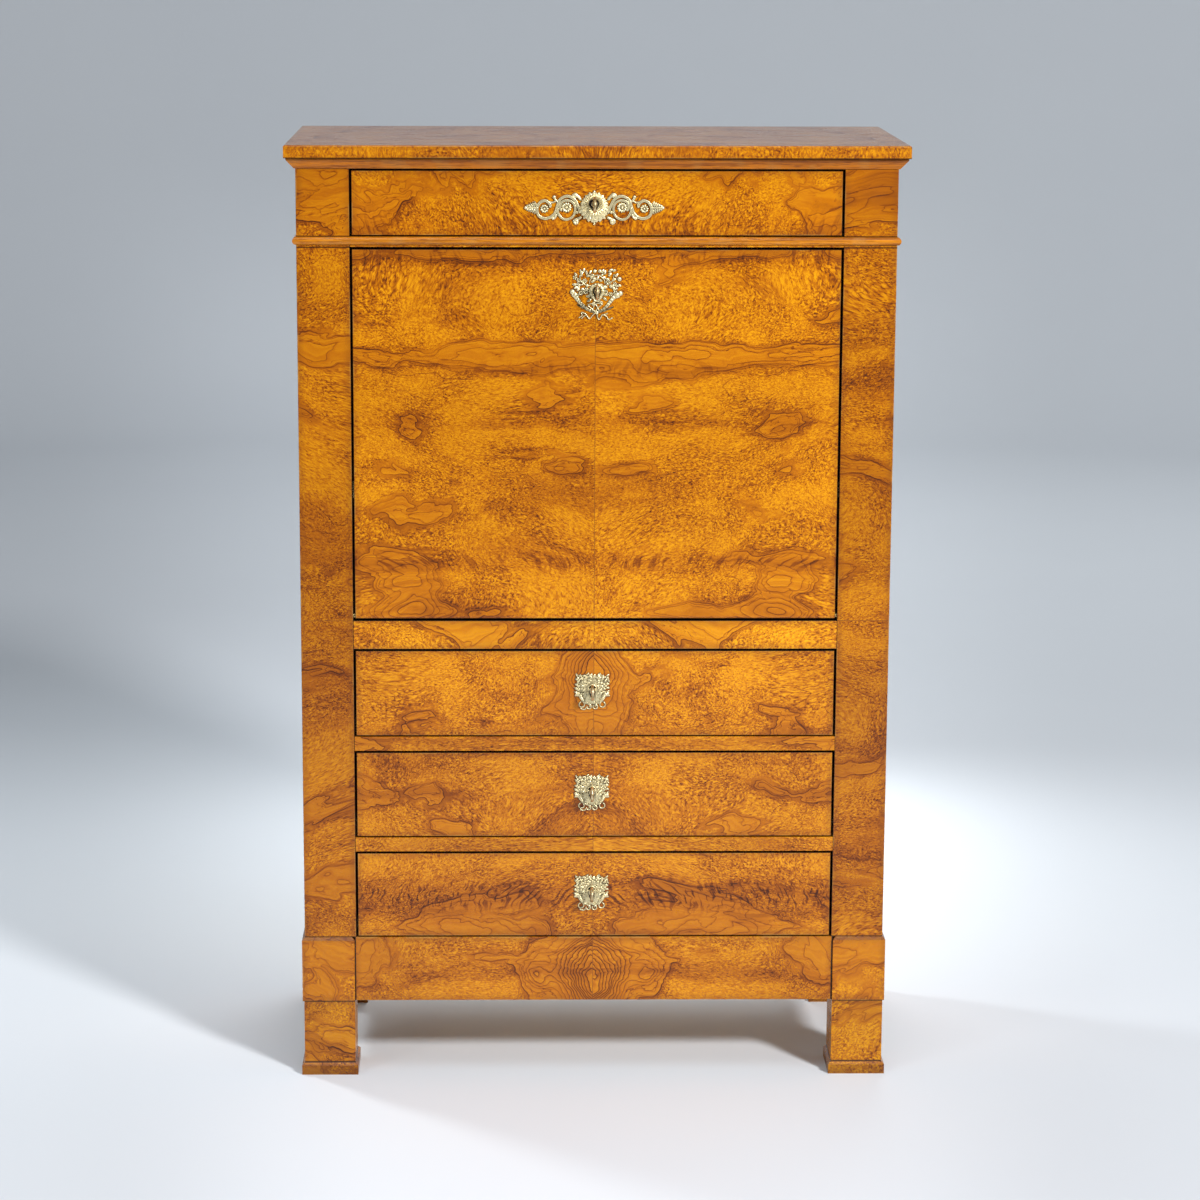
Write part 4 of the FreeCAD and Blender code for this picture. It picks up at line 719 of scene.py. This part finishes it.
for x, z, length, degrees in (
        (-22, 30, 9, 112), (-20, 33, 7, 78), (-30, 28, 7, 130), (-14, 29, 8, 104), (-11, 30, 7, 62),
        (-24, 26, 9, 70), (-17, 26, 8, 10), (-10, 29, 7, -20), (1, 20, 8, 72), (-31, 15, 8, 176),
        (-24, 13, 8, 150), (-30, 12, 6, 215), (8, 31, 8, 60), (13, 29, 8, 82), (18, 32, 10, 38),
        (24, 34, 7, 20), (29, 25, 8, 52), (19, 26, 8, 60),
        (20, 23, 8, 170), (13, 27, 7, 200), (24, 19, 8, 30), (30, 11, 9, 6), (20, 10, 8, -12), (26, 5, 8, 20),
        (9, 20, 7, 150), (-9, 17, 7, 20), (-20, 9, 7, 200), (19, 13, 6, 300), (-26, 9, 6, 120),
        (-3, 12, 7, 170),
        (3, 12, 7, 10), (-6, 26, 6, 160), (6, 27, 6, 30)):
    shells.append(leaf(x, z, length, degrees, 2.1, 3.4))
for points in ([(-8, 12), (-18, 14), (-25, 20), (-27, 30)], [(9, 12), (17, 14), (24, 20), (27, 31)],
               [(-12, 14), (-10, 22), (-3, 28), (4, 28), (11, 22), (13, 14)],
               [(-20, 14), (-29, 14), (-36, 15)],
               [(20, 14), (29, 12), (38, 12)]):
    shells.append(strap(through(points), 1.1, 2.4))
horn = np.linspace(0, 1, 48)
for points in ([(-37, 1), (-32, -6), (-27, -13), (-21, -19), (-11, -26), (0, -29), (12, -26.5), (27, -20)],
               [(35.5, -1), (26, -6), (20.5, -13), (15, -20), (7, -26), (-3, -29), (-16, -25), (-32, -16.5)]):
    half = np.interp(horn, [0, 0.06, 0.12, 0.3, 0.55, 1], [5.6, 4.6, 3.8, 3.2, 2.0, 1.2])
    shells.append(strap(through(points, len(horn)), half * (1 + 0.08 * np.cos(132 * horn)),
                        half * (0.8 + 0.25 * np.cos(88 * horn)), crease=0.35, end=0.02))
for points in ([(-1, -29), (-7, -24), (-13.5, -18), (-8, -15.5), (-2, -17), (2, -23), (4, -28)],
               [(-3, -29), (1, -23), (7.7, -16), (2, -15), (-3, -17), (-6, -23), (-7, -28)],
               [(-1, -29), (-6, -33), (-11, -39), (-15, -35), (-18, -31), (-24, -29.5), (-23, -34),
                (-29.5, -38.5)],
               [(1, -29), (1, -36), (3.5, -40.3), (6.5, -37), (8.5, -33), (15, -35), (18.7, -40), (26, -37)],
               [(-17, -33), (-21, -36), (-24, -39)], [(8, -33), (13, -32), (17.5, -30.5)]):
    shells.append(strap(through(points, 44), 1.2, 3.0, end=0.04))
for x, z, length, degrees in (
        (-9, -2, 9, 190), (-9, -7, 9, 215), (9, -2, 9, -10), (9, -7, 8, -35), (-12, 7, 8, 160),
        (10, 7, 8, 20), (-4, -12, 8, 235), (4, -12, 8, 305), (-30, 3, 7, 60), (29, 4, 7, 110)):
    shells.append(leaf(x, z, length, degrees, 2.3, 3.0))
shells.append(bead(0, -29.5, 3.4, 3.2))
fix_mount("fall_mount", "fall", (0, 1270), shells)


# Drawer mounts
# Three like mounts, square and dense with leaves and small flowers over a thin plate, with a flared horn
# at each side and loops of ribbon below.
draw = np.random.default_rng(11)
columns, rows = np.meshgrid(np.arange(-22, 23, 7.4), np.arange(1, 27, 6.4))
spots = np.stack([columns.ravel(), rows.ravel()], 1) + draw.uniform(-1.4, 1.4, (columns.size, 2))
spots = spots[(np.abs(spots[:, 0]) > 7.5) | (spots[:, 1] > 15)]
turns = draw.uniform(0, 360, len(spots))
plate = [22, 19, 26, 26, 26, 19, 22, 25, 23.5, 20.5, 23.5, 25, 22]
shells = [collar(0, 5.5, lambda a: key_slot(a, 6.6, 8.5, 0.42),
                 lambda a: rough_edge(a, plate) + 0.6 * np.cos(26 * a),
                 lambda s, a: 1.2 + 0.4 * np.sin(math.pi * s) - 0.6 * s ** 4)]
arch = [(-6, -11), (-7, 0), (-6.4, 8), (0, 13), (6.4, 8), (7, 0), (6, -11)]
shells.append(strap(through(arch, 44), 1.3, 3.0))
for (x, z), turn in zip(spots, turns):
    shells.append(blossom(x, z, 3.3, 3.6, 5, 0.34, 0.6, math.radians(turn)))
    for k in range(3):
        shells.append(leaf(x, z, 6.2, turn + 120 * k, 1.5, 3.4))
for x, z, degrees in ((-22, 21, 140), (-17, 25, 115), (-10, 26, 100), (-3, 27, 92), (5, 27, 86), (12, 26, 78),
                      (19, 24, 60), (23, 20, 40), (25, 14, 15), (25, 8, 0), (-25, 15, 165), (-25, 8, 182)):
    drawn_in = 0.86
    shells.append(leaf(x * drawn_in, z * drawn_in, 6.8, degrees, 2.1, 3.4))
half = np.interp(horn, [0, 0.3, 1], [5.0, 3.6, 1.4])
for way in (-1, 1):
    shells.append(strap(sided(way, [(27, -2), (20, -4), (17, -10), (12, -16), (3, -20)], len(horn)), half,
                        half * (0.8 + 0.12 * np.cos(70 * horn)), end=0.02))
    shells.append(strap(sided(way, [(20, -1), (25, -3.5), (28, -6)]), 1.4, 2.2))
    shells.append(strap(spiral(way * 16.5, -19.5, 90, 90 - way * 350, 4.3, 4.3), 1.3, 2.2))
    shells.append(strap(spiral(way * 5, -23, 130, 130 + way * 340, 3.6, 3.4), 1.3, 2.2))
    shells.append(blossom(way * 11.5, -10, 3.4, 2.6, 5))
shells += [strap(through([(-15, -22), (-18, -26), (-12, -27.5), (-9, -24)]), 1.3, 2.0),
           blossom(5.5, -15.5, 4.0, 3.0, 6), blossom(-5, -16, 3.6, 2.8, 5),
           leaf(-3, -18, 7, 250, 2, 2.2), leaf(3, -18, 7, 290, 2, 2.2)]
for body, height in (("upper_drawer", 634.5), ("middle_drawer", 468.5), ("lower_drawer", 302.5)):
    fix_mount(f"{body}_mount", body, (-4.5, height), shells)


# Astragal, cornice and top
# Mouldings run from solid ash along their length, mitred at the corners, under a flat top whose edge is
# crossbanded and whose face has two leaves of veneer.
cornice_joint, top_level = 1.480, 1.5
moulded, tree, shader, place = tree_of("ash_mouldings")
streak = noise(tree, mapped(tree, place, (5, 60, 190)), 1.0, 3.0, 0.6, 0.4)
pores = fade(tree, noise(tree, mapped(tree, place, (40, 420, 900)), 1.0, 1.0), 0.36, 0.46)
dark = times(tree, pores, 0.2, streak)
wood = mix(tree, ease(tree, dark, 0.3, 0.75), (0.60, 0.19, 0.006), (0.245, 0.064, 0.0033))
level = step(tree, "SeparateXYZ", place, out=2)
astragal_tint, cornice_tint, rubbed_tone = (1.13, 1.22, 1.3), (1.04, 1.0, 0.9), (0.50, 0.25, 0.06)
tint = mix(tree, ease(tree, level, 1.37, 1.42), astragal_tint, cornice_tint)
wood = mix(tree, 1.0, wood, tint, "MULTIPLY")
dirt = fade(tree, apart(tree, level, cornice_joint), 0.0006, 0.0018, 0.85)
wood = mix(tree, dirt, wood, dirt_and_shade_tone)
rub = ease(tree, noise(tree, place, 28, 2.0), 0.5, 0.68)
wood = mix(tree, times(tree, rub, 0.25), wood, rubbed_tone)
feed(tree, shader, Base_Color=wood, Roughness=times(tree, streak, 0.2, 0.2), Specular_IOR_Level=0.3,
     Coat_Weight=0.04, Coat_Roughness=0.12)
relief(tree, shader, noise(tree, mapped(tree, place, (5, 60, 190)), 1.0, 1.0), 0.0004, 0.3)
dress(moulded, "astragal", "cornice_moulding")
# The top face is darkened a little as painted shade; the joint with the cornice is darkened by dirt.
dress(burr_ash("ash_top_board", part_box("top_board"), seam=middle_seam, stretch=(0.9, 0.8, 0.4),
               move=(2.9, 3.3, 0.6), tint=(1.0, 0.99, 1.3), burl=0.08, worn=(0, 1), slab=True, plane=(0, 1),
               polish=0.36, dirt_and_shade=((2, cornice_joint, 0.0016, 0.85), (2, top_level, 0.0003, 0.36))),
      "top_board")


# Softwood inside
# Dust boards, runners, drawer sides and bottoms and the framed back, of planed pine that was only waxed.
# The back is framed up from two stiles, three rails and two panels that are free in their grooves.
def waxed_pine(name, framed=None):
    """Planed pine: fine streaks and broad slow bands along the board. They run along x, along y on faces
    that look sideways, or, in a framed back given by its box, upright in the stiles and the sunk panels."""
    made, tree, shader, place = tree_of(name)

    def streaks(long_axis):
        """Noise drawn out along one axis."""
        fine, broad = (tuple(slow if axis == long_axis else quick for axis in range(3))
                       for slow, quick in ((2.5, 150), (0.9, 24)))
        fine = noise(tree, mapped(tree, place, fine), 1.0, 3.0, 0.6, 0.3)
        return between(tree, 0.45, fine, noise(tree, mapped(tree, place, broad), 1.0, 2.0))

    if framed:
        high, stile_width, panel_sink = framed[1], 0.080, 0.003
        parts = step(tree, "SeparateXYZ", place).node.outputs
        stile = reckon(tree, "GREATER_THAN", reckon(tree, "ABSOLUTE", parts[0]), high[0] - stile_width)
        panel = reckon(tree, "LESS_THAN", parts[1], high[1] - panel_sink)
        grain = between(tree, reckon(tree, "MAXIMUM", stile, panel), streaks(0), streaks(2))
    else:
        looks = step(tree, "SeparateXYZ", tree.nodes.new("ShaderNodeNewGeometry").outputs["Normal"])
        sideways = reckon(tree, "GREATER_THAN", reckon(tree, "ABSOLUTE", looks), 0.7)
        grain = between(tree, sideways, streaks(0), streaks(1))
    wood = mix(tree, ease(tree, grain, 0.34, 0.68), (0.61, 0.40, 0.205), (0.43, 0.25, 0.10))
    wood = mix(tree, ease(tree, noise(tree, place, 5, 3.0), 0.45, 0.75, 0.0, 0.5), wood, (0.36, 0.22, 0.11))
    feed(tree, shader, Base_Color=wood, Roughness=times(tree, grain, 0.2, 0.45))
    relief(tree, shader, grain, 0.0005, 0.3)
    return made


dress(waxed_pine("waxed_pine"), "dust_boards", "drawer_guides",
      *[f"{name}_drawer_box" for name in ("frieze", "upper", "middle", "lower")])
dress(waxed_pine("waxed_pine_back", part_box("framed_back")), "framed_back")


# Fitted inside
# Gallery, small drawers, linings and writing floor of cherry, straight-grained and shellacked. The
# gallery is housed and glued as one case that slides in from the front.
cherry, tree, shader, place = tree_of("shellacked_cherry")
grain = noise(tree, mapped(tree, place, (4, 40, 70)), 1.0, 3.0, 0.6, 0.6)
flame = noise(tree, mapped(tree, place, (2.5, 9, 9)), 1.0, 2.0, 0.5, 1.0)
dark = times(tree, flame, 0.6, times(tree, grain, 0.5))
light_cherry, dark_cherry = (0.58, 0.25, 0.07), (0.27, 0.08, 0.02)
feed(tree, shader, Base_Color=mix(tree, ease(tree, dark, 0.35, 0.75), light_cherry, dark_cherry),
     Roughness=times(tree, grain, 0.2, 0.22), Coat_Weight=0.2, Coat_Roughness=0.2)
relief(tree, shader, grain, 0.0004, 0.25)
dress(cherry, "writing_floor", "compartment_linings", "gallery_case",
      *[f"small_drawer_{side}_{row}" for side in ("left", "right") for row in ("low", "middle", "high")])


# Leather
# A writing skin of dark green goat, let in flush on the inner face of the fall, with gilt lines tooled
# round its border.
leather_low, leather_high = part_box("writing_leather")
leather, tree, shader, place = tree_of("tooled_leather")
parts = step(tree, "SeparateXYZ", place).node.outputs
gap = None
for axis in (0, 2):
    middle = (leather_low[axis] + leather_high[axis]) / 2
    half = (leather_high[axis] - leather_low[axis]) / 2
    inset = reckon(tree, "SUBTRACT", half, apart(tree, parts[axis], middle))
    gap = inset if gap is None else reckon(tree, "MINIMUM", gap, inset)
lines = None
for inset, width in ((0.014, 0.0011), (0.019, 0.0006), (0.031, 0.0006)):
    near = fade(tree, apart(tree, gap, inset), width * 0.6, width)
    lines = near if lines is None else reckon(tree, "MAXIMUM", lines, near)
lines = times(tree, lines, ease(tree, noise(tree, place, 90, 3.0), 0.3, 0.5, 0.35, 1.0))
pebble = tree.nodes.new("ShaderNodeTexVoronoi")
pebble.inputs["Scale"].default_value = 620
tree.links.new(place, pebble.inputs["Vector"])
dark_green, worn_green, gold_leaf = (0.018, 0.05, 0.026), (0.05, 0.085, 0.04), (0.72, 0.48, 0.16)
hide = mix(tree, noise(tree, place, 8, 4.0), dark_green, worn_green)
feed(tree, shader, Base_Color=mix(tree, lines, hide, gold_leaf), Metallic=lines,
     Roughness=times(tree, noise(tree, place, 14, 3.0), 0.25, 0.33))
relief(tree, shader, reckon(tree, "SUBTRACT", pebble.outputs["Distance"], lines), 0.0004, 0.5)
dress(leather, "writing_leather")


# Metalwork
# Brass pivots, quadrants and keepers, rubbed bright where they slide, brass keys, iron locks and bolts.
# Pivots, quadrants and locks are let into the wood.
def metal(name, bright, dull, rough, clouds):
    """Worn metal: two tones of one metal mixed by clouds of noise, with fine scratches."""
    made, tree, shader, place = tree_of(name)
    cloud = noise(tree, place, clouds, 3.0, 0.6)
    scratch = noise(tree, mapped(tree, place, (900, 60, 60)), 1.0, 1.0)
    feed(tree, shader, Base_Color=mix(tree, ease(tree, cloud, 0.35, 0.65), bright, dull), Metallic=1.0,
         Roughness=times(tree, cloud, 0.2, times(tree, scratch, 0.08, rough)))
    relief(tree, shader, scratch, 0.0001, 0.3)
    return made


locked = ("fall", "frieze_drawer", "upper_drawer", "middle_drawer", "lower_drawer")
dress(metal("rubbed_brass", (0.80, 0.60, 0.26), (0.42, 0.28, 0.10), 0.22, 40),
      "fall_pivots", "fall_quadrants", "quadrant_keepers", "pivot_sockets")
dress(metal("browned_iron", (0.20, 0.17, 0.14), (0.07, 0.05, 0.04), 0.4, 60),
      *[f"{name}_{part}" for name in locked for part in ("lock", "bolt")])
dress(metal("key_brass", (0.90, 0.78, 0.50), (0.42, 0.31, 0.14), 0.26, 90),
      *[f"{name}_key" for name in locked])
